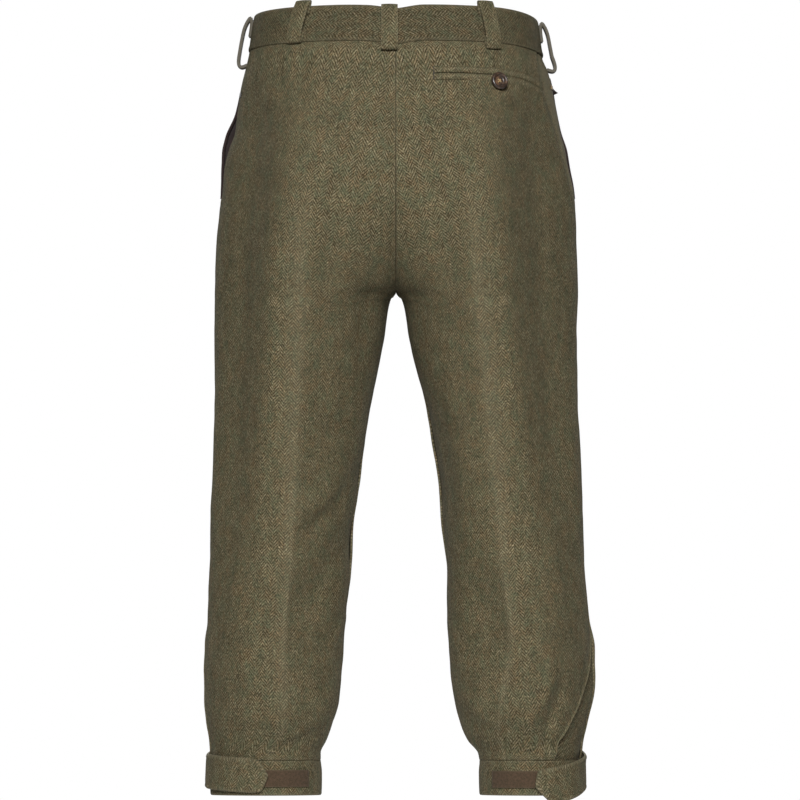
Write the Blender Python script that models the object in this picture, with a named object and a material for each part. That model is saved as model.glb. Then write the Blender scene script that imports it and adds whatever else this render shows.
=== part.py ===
"""Knee breeches in heavy tweed, open and hanging from the waist as when they are worn.

The frame: +Z up, +X to the wearer's right, +Y to the wearer's front. The origin is the centre of the
waist, half way up the waistband. Everything is worked out in millimetres and made in metres.

A place on the garment is a side (-1 is the wearer's left, 1 the right), a drop below the origin, and
how far around it is: 0 at the back seam, 0.25 at the back crease, 0.5 at the side seam, 0.75 at the
front crease, 1 at the front seam. The back and front seams are the centre seams down to the crotch
and the inseam below it. Beyond 1 the place is past the front seam, on the other side.
"""

import math

import bmesh
import bpy
import numpy as np
from mathutils import Matrix, Vector

MM = 0.001
SIDES = {"left": -1, "right": 1}

# Cloth and seams
CLOTH = 2.0  # tweed with its backing
TRIM = 1.2  # pocket facings and hook strips
GAP = 0.3  # between pieces at a seam, and under a piece that lies on another
HIDDEN_GAP = 2.0  # under a panel, where the flat faces of its wall come further in than the cloth
EDGE = 0.0004  # the share of the way round that is half a gap
BAND = 3.2  # waistband and cuffs, folded double
BAND_PROUD = 0.8  # how far they stand out from the panels

# Heights, as drops below the origin
WAIST_HALF = 18.5  # half the waistband's height
CUFF_TOP = 757.5
HEM = 794.5
HEM_LIFT = 6.5  # how much higher the hem is in the middle of the back than at its sides
CUFF_OPENING = 0.0012  # half the cuff's opening, as a share of the way round, under the tab

PROFILE = {
    # One row for each section: the y of the seams, of the creases and of the side seam, how far the
    # seam lies below the section's level, how far the cloth turns at the seams and creases, and how
    # far the outer back is planed, which is to run straight to the side from a flat by the crease.
    "columns": "drop seam_drop back_seam back_crease side front_crease front_seam "
    "back_turn front_turn crease_turn planed",
    "rows": [
        (-24, -24, -116, -108, -2, 98, 110, 2, 1, 17, 0),
        (18, 18, -121, -114, -2, 104, 117, 3, 1, 17, 0),
        (60, 60, -134, -129, -3, 112, 125, 5, 2, 14, 0),
        (110, 110, -148, -148, -4, 120, 130, 10, 4, 9, 0.25),
        (165, 168, -147, -158, -5, 126, 128, 26, 9, 4, 0.35),
        (210, 216, -127, -153, -4, 128, 113, 44, 24, 2, 0.8),
        (245, 249, -95, -144, -3, 127, 84, 60, 50, 0, 1),
        (270, 264, -58, -137, -1, 125, 52, 75, 72, 0, 1),
        (290, 269, 2, -132, 0, 122, 2, 90, 90, 0, 1),
        (318, 306, 1, -125, 0, 117, 1, 90, 90, 0, 1),
        (402, 398, -2, -110, -2, 104, -2, 90, 90, 0, 1),
        (486, 486, -4, -99, -4, 92, -4, 90, 90, 0, 0.7),
        (570, 570, -5, -97, -5, 86, -5, 90, 90, 0, 0.35),
        (654, 654, -4, -95, -4, 84, -4, 90, 90, 0, 0.3),
        (700, 700, -3, -89, -2, 80, -3, 90, 90, 0, 0.1),
        (733, 733, -1, -75, 0, 73, -1, 90, 90, 0, 0),
        (752, 752, 1, -65, 2, 68, 1, 90, 90, 0, 0),
        (800, 800, 2, -63, 2, 67, 2, 90, 90, 0, 0),
    ],
}

PLANED_FLAT = 38.0  # how wide the flat is beside the crease of a planed back
PLANED_CORNER, PLANED_PACE = 3.2, 3.0  # how sharply it then bends, and how soon it nears the side

OUTLINE_COLUMNS = "drop inner back_crease front_crease side lip kink lean"
# Distances from the middle plane. The lip is the front panel's side edge, which stands out from the
# back panel's beside the pocket mouth and the slit. The creases turn by twice the kink, and lean
# turns both sides of the back one together, so that its outer side looks straight back.
OUTLINES = {
    -1: {
        "columns": OUTLINE_COLUMNS,
        "rows": [
            (-24, 0, 60, 66, 152, 152, 0, 0),
            (18, 0, 62, 68, 156, 156, 0, 0),
            (60, 0, 66, 72, 161.5, 162, 0, 0),
            (80, 0, 69, 75, 165.5, 167, 0, 0),
            (103, 0, 72, 79, 168.6, 177.5, 0, 0),
            (120, 0, 75, 82, 175, 182, 1, 0),
            (137, 0, 79, 85, 179, 183, 4, 0),
            (165, 0, 84, 90, 181.5, 183, 9, -6),
            (183, 0, 88, 93, 185, 185, 11, -4),
            (213, 0, 92, 97, 188, 188, 13, 2),
            (268, 0, 95, 101, 190, 190, 14, 10),
            (271, 4.2, 95, 101, 190, 190, 14, 10),
            (318, 12.6, 97, 103, 190, 190, 14, 12),
            (402, 28.4, 100, 109, 191, 191, 18, 18),
            (486, 41, 103, 116, 193, 193, 20, 20),
            (570, 48, 109, 122, 196, 196, 20, 18),
            (612, 53, 112, 125, 197, 197, 21, 20),
            (654, 55.7, 115, 128, 199.5, 199.5, 18, 18),
            (696, 60, 116, 130, 200, 200, 12, 12),
            (717, 66, 117, 132, 198.5, 198.5, 8, 8),
            (738, 73.5, 123, 133, 194.5, 194.5, 3, 0),
            (752, 79, 133, 134, 190, 190, 0, 0),
            (800, 79, 134, 134, 190, 190, 0, 0),
        ],
    },
    1: {
        "columns": OUTLINE_COLUMNS,
        "rows": [
            (-24, 0, 58, 66, 151, 151, 0, 0),
            (18, 0, 60, 68, 154, 154, 0, 0),
            (60, 0, 63, 72, 161, 161.5, 0, 0),
            (103, 0, 66, 78, 171, 173, 1, 6),
            (120, 0, 67, 81, 176.5, 179, 5, 9),
            (137, 0, 68, 84, 181, 183, 12, 11),
            (165, 0, 70, 89, 187, 187.5, 17, 13),
            (213, 0, 75, 96, 189.5, 189.5, 18, 15),
            (268, 0, 80, 100, 190.5, 190.5, 17, 15),
            (271, 4.2, 80, 100, 190.5, 190.5, 17, 15),
            (318, 14, 86, 104, 190, 190, 16, 14),
            (402, 34, 94, 112, 192, 192, 15, 10),
            (486, 46.5, 102, 120, 195, 195, 15, 10),
            (570, 53.3, 111, 126, 199.5, 199.5, 18, 20),
            (612, 53.5, 116, 128, 202, 203.5, 20, 24),
            (640, 55.5, 119, 130, 203, 208.5, 17, 20),
            (680, 58.8, 123, 131, 201, 208.5, 10, 12),
            (717, 66.5, 128, 133, 195, 202.5, 5, 6),
            (738, 75, 134, 137, 192, 197.5, 2, 0),
            (752, 84.5, 140, 141, 193, 195, 0, 0),
            (800, 86, 141.5, 141.5, 195, 195, 0, 0),
        ],
    },
}

WAIST_LINE = {
    # How far the waist's mid line is above the origin's level. It fades out over the hips.
    "columns": "around left right",
    "rows": [
        (0, -1.5, -1.5),
        (0.12, 2, 2.5),
        (0.3, 3, 3),
        (0.5, 2, -4),
        (0.75, -6, -9),
        (1, -12, -12),
    ],
}
WAIST_LINE_ENDS = 150.0

SLIT = {
    # Where the back panel's side edge leaves the side seam, over the slit above the cuff.
    "columns": "drop left right",
    "rows": [
        (600, 0.5, 0.5),
        (640, 0.5, 0.497),
        (690, 0.496, 0.475),
        (720, 0.492, 0.45),
        (757.5, 0.488, 0.43),
    ],
}
SLIT_REACH = (0.05, 0.03)  # how far around the underlap goes under the back and front panels

MOUTH = {
    # Where the front panel's edge leaves the side seam, at the mouth of the hip pocket.
    "columns": "drop left right",
    "rows": [
        (34, 0.5, 0.5),
        (70, 0.515, 0.509),
        (110, 0.528, 0.514),
        (140, 0.52, 0.511),
        (172, 0.5, 0.5),
    ],
}
FACING_REACH = 0.045  # how far around the facing goes under each panel
EDGING = 0.006  # how far around the dark edging of the front panel's mouth is
EDGING_PROUD = 0.4
CORNER = {"drop": 44.0, "height": 17.0, "reach": 0.03, "stand": 7.0}  # turned-out corner, right

FLY_DROP = 172.0  # the fly is sewn down below this
FLY_END = 190.0
FLY_FADE = 65.0  # below this much further the two fronts are level again
FLY_LAP = 0.03  # how far the left front laps over the right
FLY_EASE = 0.09  # how far back from the middle it starts to rise
BAND_LAP = 0.095  # the same for the waistband's buttoned end

FOLD_COLUMNS = "side back x1 drop1 x2 drop2 half_width height"
# The largest folds. Height is outwards from the cloth, so a hollow's is negative.
FOLDS = [
    (-1, True, 42, 440, 100, 512, 44, 5),  # the roll behind the left knee
    (-1, True, 58, 486, 100, 552, 38, -5),  # the hollow below it
    (-1, True, 95, 700, 160, 690, 40, 4),  # fullness above the left cuff
    (1, True, 90, 705, 130, 700, 32, 4),  # fullness above the right cuff
    (1, True, 160, 740, 175, 690, 18, -3),  # the pull towards the right tab
    (-1, False, 60, 470, 150, 500, 40, 5),  # fullness over the left knee
    (1, False, 150, 480, 70, 515, 40, 5),  # fullness over the right knee
]

LOOP_COLUMNS = "name side around_top around_bottom drop_top drop_bottom stand lowest"
# Belt loops: how far each stands off, and where along its length it stands off most.
LOOPS = [
    ("belt_loop_back_centre", -1, 0.024, 0.024, -20, 24, 5.8, 0.5),
    ("belt_loop_back_left", -1, 0.302, 0.3145, -21.5, 18.5, 7.0, 0.55),
    ("belt_loop_back_right", 1, 0.302, 0.3125, -21.5, 25, 7.0, 0.5),
    ("belt_loop_side_left", -1, 0.5, 0.5, -16, 36, 8.5, 0.68),
    ("belt_loop_side_right", 1, 0.5, 0.5, -17, 33, 10.5, 0.74),
    ("belt_loop_front_left", -1, 0.76, 0.76, -20, 24, 6.4, 0.5),
    ("belt_loop_front_right", 1, 0.76, 0.76, -20, 24, 6.4, 0.5),
]
LOOP_WIDTH = 15.5
LOOP_THICKNESS = 2.0

POCKET_START, POCKET_END = 38.5, 152.0  # distances from the middle plane, right back
POCKET_MOUTH = 52.0
WELT_HEIGHT = 7.0
WELT = 1.5
WELT_LIFT = 1.2
BUTTON_RADIUS = 9.2
BUTTON_THICKNESS = 3.4
BUTTON_HOLE = 0.9  # radius
BUTTON_HOLES_OUT = 2.2  # from the button's middle
POCKET_BUTTON = (105.9, 60.0)  # distance from the middle plane, and drop

STRIP_HALF = 8.0
STRIP_LIFT = BAND_PROUD + 0.7
STRIP = {"left": (90.8, 158.0, 777.7), "right": (98.5, 160.0, 777.7)}  # inner end, outer end, drop

# Cuff tabs: the drop of the middle line at the start and the tip, the distances of the end's corners
# and tip from the middle plane, and how far the tab stands off at the side.
TAB_COLUMNS = "drop_start drop_tip corner tip slack"
TABS = {"left": (769.5, 773.0, 142.5, 134.6, 4.0), "right": (768.5, 785.0, 149.5, 140.0, 1.5)}
TAB_HALF = 16.5
TAB_START = 0.56  # where it leaves the front of the cuff
TAB_LIFT = STRIP_LIFT + TRIM + 1.0

# The drops at which the panels, and what is level with them, have a row of points
WAIST_ROW = WAIST_HALF + 2 * GAP
HIP_ROWS = [40.0, 62.0, 84.0, 106.0, 128.0, 150.0, 170.0]  # along the pocket mouth
SEAT_ROWS = [192.0, 214.0, 236.0, 256.0, 274.0, 290.0]
LEG_ROWS = [308.0, 334.0, 366.0, 402.0, 440.0, 480.0, 520.0, 560.0]
SLIT_ROWS = [606.0, 640.0, 670.0, 700.0, 730.0]
PANEL_ROWS = [WAIST_ROW, *HIP_ROWS, *SEAT_ROWS, *LEG_ROWS, *SLIT_ROWS, CUFF_TOP - GAP]
PANEL_COLUMNS = 12

MATERIALS = {
    # colour and roughness
    "tweed": ((0.125, 0.108, 0.062), 0.95),
    "facing": ((0.035, 0.022, 0.019), 0.7),
    "hook_strip": ((0.080, 0.053, 0.031), 1.0),
    "horn": ((0.045, 0.024, 0.015), 0.35),
}


class Table:
    """Smooth curves through a table's columns, which never overshoot its values (monotone cubics)."""

    def __init__(self, table):
        names = table["columns"].split()
        values = np.array(table["rows"], dtype=float)
        self.at = values[:, 0]
        self.values = {name: values[:, i] for i, name in enumerate(names)}
        self.slopes = {name: self.steady_slopes(column) for name, column in self.values.items()}

    def steady_slopes(self, column):
        gaps = np.diff(self.at)
        rises = np.diff(column) / gaps
        slopes = np.concatenate([rises[:1], np.zeros(len(rises) - 1), rises[-1:]])
        for i in range(1, len(rises)):
            if rises[i - 1] * rises[i] > 0:
                before, after = 2 * gaps[i] + gaps[i - 1], gaps[i] + 2 * gaps[i - 1]
                slopes[i] = (before + after) / (before / rises[i - 1] + after / rises[i])
        return slopes

    def __call__(self, name, where):
        where = np.clip(where, self.at[0], self.at[-1])
        i = np.clip(np.searchsorted(self.at, where, side="right") - 1, 0, len(self.at) - 2)
        gap = self.at[i + 1] - self.at[i]
        t = (where - self.at[i]) / gap
        value, slope = self.values[name], self.slopes[name]
        level = value[i] * (1 + 2 * t) * (1 - t) ** 2 + value[i + 1] * t * t * (3 - 2 * t)
        return level + gap * (slope[i] * t * (1 - t) ** 2 - slope[i + 1] * t * t * (1 - t))


PROFILE_AT = Table(PROFILE)
OUTLINE_AT = {side: Table(outline) for side, outline in OUTLINES.items()}
WAIST_LINE_AT = Table(WAIST_LINE)
SLIT_AT = Table(SLIT)
MOUTH_AT = Table(MOUTH)


def rows_of(columns, rows):
    return [dict(zip(columns.split(), row)) for row in rows]


def label_of(side):
    return "left" if side < 0 else "right"


def eased(t):
    t = np.clip(t, 0, 1)
    return t * t * (3 - 2 * t)


def heading(degrees):
    """A unit direction in a section: 0 is sideways, 90 is away from the middle of the body."""
    return np.stack([np.cos(np.radians(degrees)), np.sin(np.radians(degrees))], -1)


def arc(start, end, leaves, arrives, t):
    """A point on the curve from start to end that leaves and arrives with these headings."""
    chord = end - start
    least = 0.2 * np.linalg.norm(chord, axis=-1)
    fullness = 0.36 + 0.19 * np.abs(leaves - arrives) / 90
    out, into = heading(leaves), heading(arrives)
    first = start + out * (fullness * np.maximum((chord * out).sum(-1), least))[..., None]
    last = end - into * (fullness * np.maximum((chord * into).sum(-1), least))[..., None]
    t = t[..., None]
    s = 1 - t
    return start * s**3 + 3 * first * s * s * t + 3 * last * s * t * t + end * t**3


def planed_arc(start, end, leaves, t):
    """A point on the curve that is flat from start and then runs straight to end."""
    corner = start + heading(leaves) * PLANED_FLAT
    t = t[..., None]
    near, far = (1 - t) ** 2, (PLANED_PACE * t) ** 2
    bend = 2 * PLANED_CORNER * PLANED_PACE * t * (1 - t)
    return (start * near + corner * bend + end * far) / (near + bend + far)


def section_point(side, drop, around):
    """(distance from the middle plane, y, drop) of the cloth's outer face."""
    outline = OUTLINE_AT[side]
    back = around <= 0.5
    away = np.where(back, -1, 1)
    share = np.where(back, around, 1 - around)
    seam_drop = PROFILE_AT("seam_drop", drop)

    def facing(table, back_name, front_name, where):
        return np.where(back, table(back_name, where), table(front_name, where))

    seam_y = away * facing(PROFILE_AT, "back_seam", "front_seam", drop)
    crease_y = away * facing(PROFILE_AT, "back_crease", "front_crease", drop)
    seam = np.stack([outline("inner", seam_drop), seam_y], -1)
    crease = np.stack([facing(outline, "back_crease", "front_crease", drop), crease_y], -1)
    edge = np.stack([facing(outline, "side", "lip", drop), away * PROFILE_AT("side", drop)], -1)
    turn, kink = PROFILE_AT("crease_turn", drop), outline("kink", drop)
    inner = share < 0.25
    t = np.where(inner, share, share - 0.25) / 0.25
    leaves = facing(PROFILE_AT, "back_turn", "front_turn", drop)
    turn = turn - outline("lean", drop) * back
    near = arc(seam, crease, leaves, kink - turn, t)
    far = arc(crease, edge, -kink - turn, np.full_like(kink, -90.0), t)
    planed = PROFILE_AT("planed", drop) * back * (1 - eased((t - 0.6) / 0.4))
    far = far + (planed_arc(crease, edge, -kink - turn, t) - far) * planed[..., None]
    flat = np.where(inner[..., None], near, far)
    level = np.where(inner, seam_drop + (drop - seam_drop) * t, drop)
    return flat[..., 0], away * flat[..., 1], level


def fold_height(side, back, x, drop):
    total = np.zeros_like(x)
    for fold in rows_of(FOLD_COLUMNS, FOLDS):
        if fold["side"] != side:
            continue
        start = np.array([fold["x1"], fold["drop1"]])
        along = np.array([fold["x2"], fold["drop2"]]) - start
        offset = np.stack([x, drop], -1) - start
        t = np.clip((offset * along).sum(-1) / (along * along).sum(), 0, 1)
        reach = np.linalg.norm(offset - along * t[..., None], axis=-1) / fold["half_width"]
        height = fold["height"] * np.cos(np.minimum(reach, 1) * math.pi / 2) ** 2
        total = total + np.where(back == fold["back"], height, 0)
    return total


def rise(side, drop, around):
    """How far the rows are lifted: along the waist, and at the middle of the back of each hem."""
    waist = WAIST_LINE_AT(label_of(side), around) * eased(1 - drop / WAIST_LINE_ENDS)
    hem = np.sin(np.minimum(around, 0.5) * 2 * math.pi) * eased((drop - 690) / 60)
    return waist + HEM_LIFT * hem


def bare_point(side, drop, around):
    drop, around = np.broadcast_arrays(np.asarray(drop, float), np.asarray(around, float))
    x, y, level = section_point(side, drop, around)
    return np.stack([side * x, y, rise(side, drop, around) - level], -1)


def outward(side, drop, around):
    """The cloth's outward direction, from its neighbours along and across."""
    drop, around = np.broadcast_arrays(np.asarray(drop, float), np.asarray(around, float))
    across = bare_point(side, drop, np.minimum(1, around + 0.01))
    across = across - bare_point(side, drop, np.maximum(0, around - 0.01))
    down = bare_point(side, drop + 2, around) - bare_point(side, drop - 2, around)
    normal = side * np.cross(down, across)
    return normal / np.linalg.norm(normal, axis=-1, keepdims=True)


def near_side_point(side, drop, around, lift):
    point, normal = bare_point(side, drop, around), outward(side, drop, around)
    back = np.broadcast_to(np.asarray(around) <= 0.5, point.shape[:-1])
    folds = fold_height(side, back, np.abs(point[..., 0]), -point[..., 2])
    return point + normal * (np.asarray(lift) + folds)[..., None]


def cloth_point(side, drop, around, lift=0.0):
    """A place on the garment in millimetres, moved out from the cloth by lift."""
    drop, around, lift = np.broadcast_arrays(*(np.asarray(v, float) for v in (drop, around, lift)))
    here = near_side_point(side, drop, np.clip(around, 0, 1), lift)
    beyond = near_side_point(-side, drop, np.clip(2 - around, 0, 1), lift)
    return np.where((around > 1)[..., None], beyond, here)


def back_around(side, drop, distance):
    """How far around the back a given distance from the middle plane is."""
    drop, distance = np.broadcast_arrays(np.asarray(drop, float), np.asarray(distance, float))
    low, high = np.zeros_like(drop), np.full_like(drop, 0.5)
    for _ in range(30):
        middle = (low + high) / 2
        inside = np.abs(bare_point(side, drop, middle)[..., 0]) < distance
        low, high = np.where(inside, middle, low), np.where(inside, high, middle)
    return (low + high) / 2


def keep_to_side(points, side):
    """Hold a panel half a gap from the middle plane."""
    points = points.copy()
    points[..., 0] = side * np.maximum(side * points[..., 0], GAP / 2)
    return points


def between(low, high, share):
    return low + (high - low) * share


def material(name):
    made = bpy.data.materials.get(name)
    if made is None:
        colour, roughness = MATERIALS[name]
        made = bpy.data.materials.new(name)
        made.use_nodes = True
        shader = made.node_tree.nodes["Principled BSDF"]
        shader.inputs["Base Color"].default_value = (*colour, 1)
        shader.inputs["Roughness"].default_value = roughness
        shader.inputs["Metallic"].default_value = 0
    return made


def add_object(name, bm, material_name):
    if bm.calc_volume(signed=True) < 0:
        bmesh.ops.reverse_faces(bm, faces=bm.faces)
    mesh = bpy.data.meshes.new(name)
    bm.to_mesh(mesh)
    bm.free()
    mesh.materials.append(material(material_name))
    mesh.shade_smooth()
    mesh.set_sharp_from_angle(angle=math.radians(40))
    obj = bpy.data.objects.new(name, mesh)
    bpy.context.scene.collection.objects.link(obj)
    return obj


def wall(name, columns, rows, place, material_name="tweed"):
    """A wall of cloth. place(across, down, depth) gives its points in millimetres: across and down
    run from 0 to 1 over it, and depth is 0 on its inner face and 1 on its outer one."""
    bm = bmesh.new()
    bmesh.ops.create_grid(bm, x_segments=columns, y_segments=rows, size=0.5)
    outer = bmesh.ops.extrude_face_region(bm, geom=bm.faces[:])["geom"]
    lifted = [item for item in outer if isinstance(item, bmesh.types.BMVert)]
    bmesh.ops.translate(bm, verts=lifted, vec=(0, 0, 1))
    flat = np.array([vertex.co for vertex in bm.verts])
    points = place(flat[:, 0] + 0.5, 0.5 - flat[:, 1], flat[:, 2]) * MM
    for vertex, point in zip(bm.verts, points):
        vertex.co = point
    return add_object(name, bm, material_name)


def at_row(drops, down):
    return np.interp(down, np.linspace(0, 1, len(drops)), drops)


def fly_lap(drop):
    """How far around the left front goes past the middle: over the right one, down to the fly's end."""
    return between(-EDGE, FLY_LAP, eased((FLY_END - drop) / (FLY_END - FLY_DROP)))


def fly_lift(around, drop):
    height = (CLOTH + 3 * GAP) * eased((FLY_END + FLY_FADE - drop) / 30)
    return height * eased((around - 1 + FLY_EASE) / (FLY_EASE - 0.02))


def build_back(label, side):
    def place(across, down, depth):
        drop = at_row(PANEL_ROWS, down)
        around = between(EDGE, SLIT_AT(label, drop) - EDGE, across)
        return keep_to_side(cloth_point(side, drop, around, CLOTH * (depth - 1)), side)

    wall(f"back_{label}", PANEL_COLUMNS, len(PANEL_ROWS) - 1, place)


def build_front(label, side):
    laps = side < 0

    def place(across, down, depth):
        drop = at_row(PANEL_ROWS, down)
        end = 1 + (fly_lap(drop) if laps else -EDGE)
        edging = EDGING * (MOUTH_AT(label, drop) > 0.5)
        around = between(MOUTH_AT(label, drop) + edging + EDGE, end, across)
        lift = CLOTH * (depth - 1) + (fly_lift(around, drop) if laps else 0)
        points = cloth_point(side, drop, around, lift)
        crosses = laps & (drop < FLY_END)
        return np.where(crosses[..., None], points, keep_to_side(points, side))

    wall(f"front_{label}", PANEL_COLUMNS, len(PANEL_ROWS) - 1, place)


def build_waistband(label, side):
    laps = side < 0

    def place(across, down, depth):
        drop = WAIST_HALF * (2 * down - 1)
        around = between(EDGE, 1 + (BAND_LAP if laps else -EDGE), across)
        lift = BAND_PROUD + BAND * (depth - 1)
        if laps:
            lift = lift + (BAND + GAP) * eased((around - 1 + FLY_EASE) / (FLY_EASE - 0.02))
        points = cloth_point(side, drop, around, lift)
        crosses = laps & (across > 0.5)
        return np.where(crosses[..., None], points, keep_to_side(points, side))

    wall(f"waistband_{label}", 28, 1, place)


def build_belt_loop(loop):
    side = loop["side"]

    def place(across, down, depth):
        drop = between(loop["drop_top"], loop["drop_bottom"], down)
        around = between(loop["around_top"], loop["around_bottom"], down)
        peak = loop["lowest"]
        bow = np.where(down < peak, down / peak, (1 - down) / (1 - peak))
        stand = loop["stand"] * np.sin(np.clip(bow, 0, 1) * math.pi / 2) ** 0.8
        lift = BAND_PROUD + GAP + stand + LOOP_THICKNESS * depth
        normal = outward(side, drop, around)
        along = np.stack([-normal[..., 1], normal[..., 0], np.zeros_like(drop)], -1)
        along = along / np.linalg.norm(along, axis=-1, keepdims=True)
        shift = (across - 0.5) * LOOP_WIDTH
        return cloth_point(side, drop, around, lift) + along * shift[..., None]

    wall(loop["name"], 1, 10, place)


def unit(vectors):
    return vectors / np.linalg.norm(vectors, axis=-1, keepdims=True)


def bridge(side, drop, back_end, front_start, reach_back, reach_front, share):
    """The outer face of a strip that crosses from under the back panel to under the front one, and
    its outward direction."""
    first, last = 0.35, 0.65
    under = -(CLOTH + HIDDEN_GAP)

    def hidden(around):
        return cloth_point(side, drop, around, under)

    start, end = hidden(back_end), hidden(front_start)
    span = np.linalg.norm(end - start, axis=-1, keepdims=True) * 0.4
    leave = unit(start - hidden(back_end - 0.004)) * span
    arrive = unit(hidden(front_start + 0.004) - end) * span

    def at(share):
        t = np.clip((share - first) / (last - first), 0, 1)[..., None]
        s = 1 - t
        bend = 3 * (start + leave) * s * s * t + 3 * (end - arrive) * s * t * t
        points = start * s**3 + bend + end * t**3
        before = hidden(back_end - reach_back * (1 - np.clip(share / first, 0, 1)))
        past = hidden(front_start + reach_front * np.clip((share - last) / (1 - last), 0, 1))
        points = np.where((share < first)[..., None], before, points)
        return np.where((share > last)[..., None], past, points)

    along = at(np.minimum(share + 0.02, 1)) - at(np.maximum(share - 0.02, 0))
    return at(share), unit(side * np.cross(np.array([0.0, 0.0, -1.0]), along))


def build_pocket_facing(label, side):
    """The facing inside the hip pocket's mouth, which closes the gap between the panels."""

    def place(across, down, depth):
        drop = at_row(HIP_ROWS, down)
        front = MOUTH_AT(label, drop) + EDGING
        reach = FACING_REACH
        points, normal = bridge(side, drop, 0.4995, front, reach, reach, across)
        return points + normal * (TRIM * (depth - 1))[..., None]

    wall(f"pocket_facing_{label}", 9, len(HIP_ROWS) - 1, place, "facing")


def build_pocket_edging(label, side):
    """The dark edging along the front panel's side of the mouth."""

    def place(across, down, depth):
        drop = at_row(HIP_ROWS, down)
        around = MOUTH_AT(label, drop) + between(EDGE, EDGING - EDGE, across)
        lift = between(-CLOTH, EDGING_PROUD, depth)
        return cloth_point(side, drop, around, lift)

    wall(f"pocket_edging_{label}", 1, len(HIP_ROWS) - 1, place, "facing")


def build_pocket_corner(label, side):
    """The corner of the facing that is turned out at the top of the right pocket's mouth."""

    def place(across, down, depth):
        drop = CORNER["drop"] + CORNER["height"] * down
        out = across * (0.15 + 0.85 * down)
        around = 0.5 + EDGING + CORNER["reach"] * (1 - out)
        return cloth_point(side, drop, around, 0.8 + CORNER["stand"] * out**1.5 + TRIM * depth)

    wall(f"pocket_corner_{label}", 4, 4, place, "facing")


def build_slit_underlap(label, side):
    """The cloth behind the slit above the cuff, from under the front panel's edge."""

    def place(across, down, depth):
        drop = at_row([*SLIT_ROWS, CUFF_TOP - 1.5], down)
        end = np.minimum(SLIT_AT(label, drop) + 0.001, 0.4995)
        points, normal = bridge(side, drop, end, 0.502, *SLIT_REACH, across)
        return points + normal * ((CLOTH - 0.5) * (depth - 1))[..., None]

    wall(f"slit_underlap_{label}", 8, len(SLIT_ROWS), place)


def cuff_around(turn):
    """How far around the leg a turn is, from the side seam forwards and back to the side seam."""
    return np.where(turn < 0.5, turn + 0.5, turn - 0.5)


def build_cuff(label, side):
    def place(across, down, depth):
        drop = between(CUFF_TOP, HEM, down)
        around = cuff_around(between(CUFF_OPENING, 1 - CUFF_OPENING, across))
        return cloth_point(side, drop, around, BAND_PROUD + BAND * (depth - 1))

    wall(f"cuff_{label}", 34, 1, place)


def build_hook_strip(label, side):
    inner, outer, middle = STRIP[label]

    def place(across, down, depth):
        drop = middle + STRIP_HALF * (2 * down - 1)
        around = back_around(side, drop, between(inner, outer, across))
        return cloth_point(side, drop, around, STRIP_LIFT + TRIM * depth)

    wall(f"hook_strip_{label}", 8, 1, place, "hook_strip")


def build_cuff_tab(label, side):
    tab = dict(zip(TAB_COLUMNS.split(), TABS[label]))
    fall = tab["drop_tip"] - tab["drop_start"]

    def place(across, down, depth):
        slant = tab["drop_start"] + fall * (0.6 * across + 0.4 * eased((across - 0.15) / 0.85))
        offset = TAB_HALF * (2 * down - 1)
        end = between(tab["corner"], tab["tip"], 1 - np.abs(2 * down - 1)) + offset * fall / 60
        around = between(TAB_START, back_around(side, slant, end), across)
        stand = tab["slack"] * np.sin(np.clip(across / 0.8, 0, 1) * math.pi) ** 2
        return cloth_point(side, slant + offset, around, TAB_LIFT + stand + CLOTH * depth)

    wall(f"cuff_tab_{label}", 16, 2, place)


def build_welt(name, top):
    side = 1

    def place(across, down, depth):
        drop = between(top, top + WELT_HEIGHT - GAP, down)
        around = back_around(side, drop, between(POCKET_START, POCKET_END, across))
        return cloth_point(side, drop, around, WELT_LIFT + WELT * depth)

    wall(name, 12, 1, place)


def build_button(name, side, drop, around, lift):
    """A turned four-hole button lying on the cloth."""
    rim, dish = BUTTON_RADIUS, 0.62 * BUTTON_RADIUS
    top = BUTTON_THICKNESS
    half_profile = [(0, 1.5), (dish - 0.7, 1.6), (dish + 0.9, top), (rim - 0.8, top - 0.2), (rim, 1.6),
                    (rim - 2.2, 0), (0, 0)]
    bm = bmesh.new()
    chain = [bm.verts.new((r * MM, 0, z * MM)) for r, z in half_profile]
    edges = [bm.edges.new(pair) for pair in zip(chain, chain[1:])]
    bmesh.ops.spin(bm, geom=chain + edges, axis=(0, 0, 1), cent=(0, 0, 0), steps=20,
                   angle=2 * math.pi, use_merge=True)
    bmesh.ops.remove_doubles(bm, verts=bm.verts, dist=0.00001)
    bmesh.ops.recalc_face_normals(bm, faces=bm.faces)
    middle = Vector(cloth_point(side, drop, around, lift) * MM)
    facing = Vector(outward(side, drop, around)).to_track_quat("Z", "Y")
    set_down = Matrix.Translation(middle) @ facing.to_matrix().to_4x4()
    bm.transform(set_down)
    button = add_object(name, bm, "horn")
    for i in range(4):
        hole_bm = bmesh.new()
        radius, length = BUTTON_HOLE * MM, 3 * BUTTON_THICKNESS * MM
        bmesh.ops.create_cone(hole_bm, cap_ends=True, segments=8, radius1=radius, radius2=radius,
                              depth=length)
        turn = math.pi / 4 + i * math.pi / 2
        place = Vector((math.cos(turn), math.sin(turn), 0)) * BUTTON_HOLES_OUT * MM
        hole_bm.transform(set_down @ Matrix.Translation(place))
        hole = add_object(f"{name}_hole_{i}", hole_bm, "horn")
        hole.hide_render = True
        hole.display_type = "WIRE"
        cut = button.modifiers.new("hole", "BOOLEAN")
        cut.operation = "DIFFERENCE"
        cut.object = hole


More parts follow.
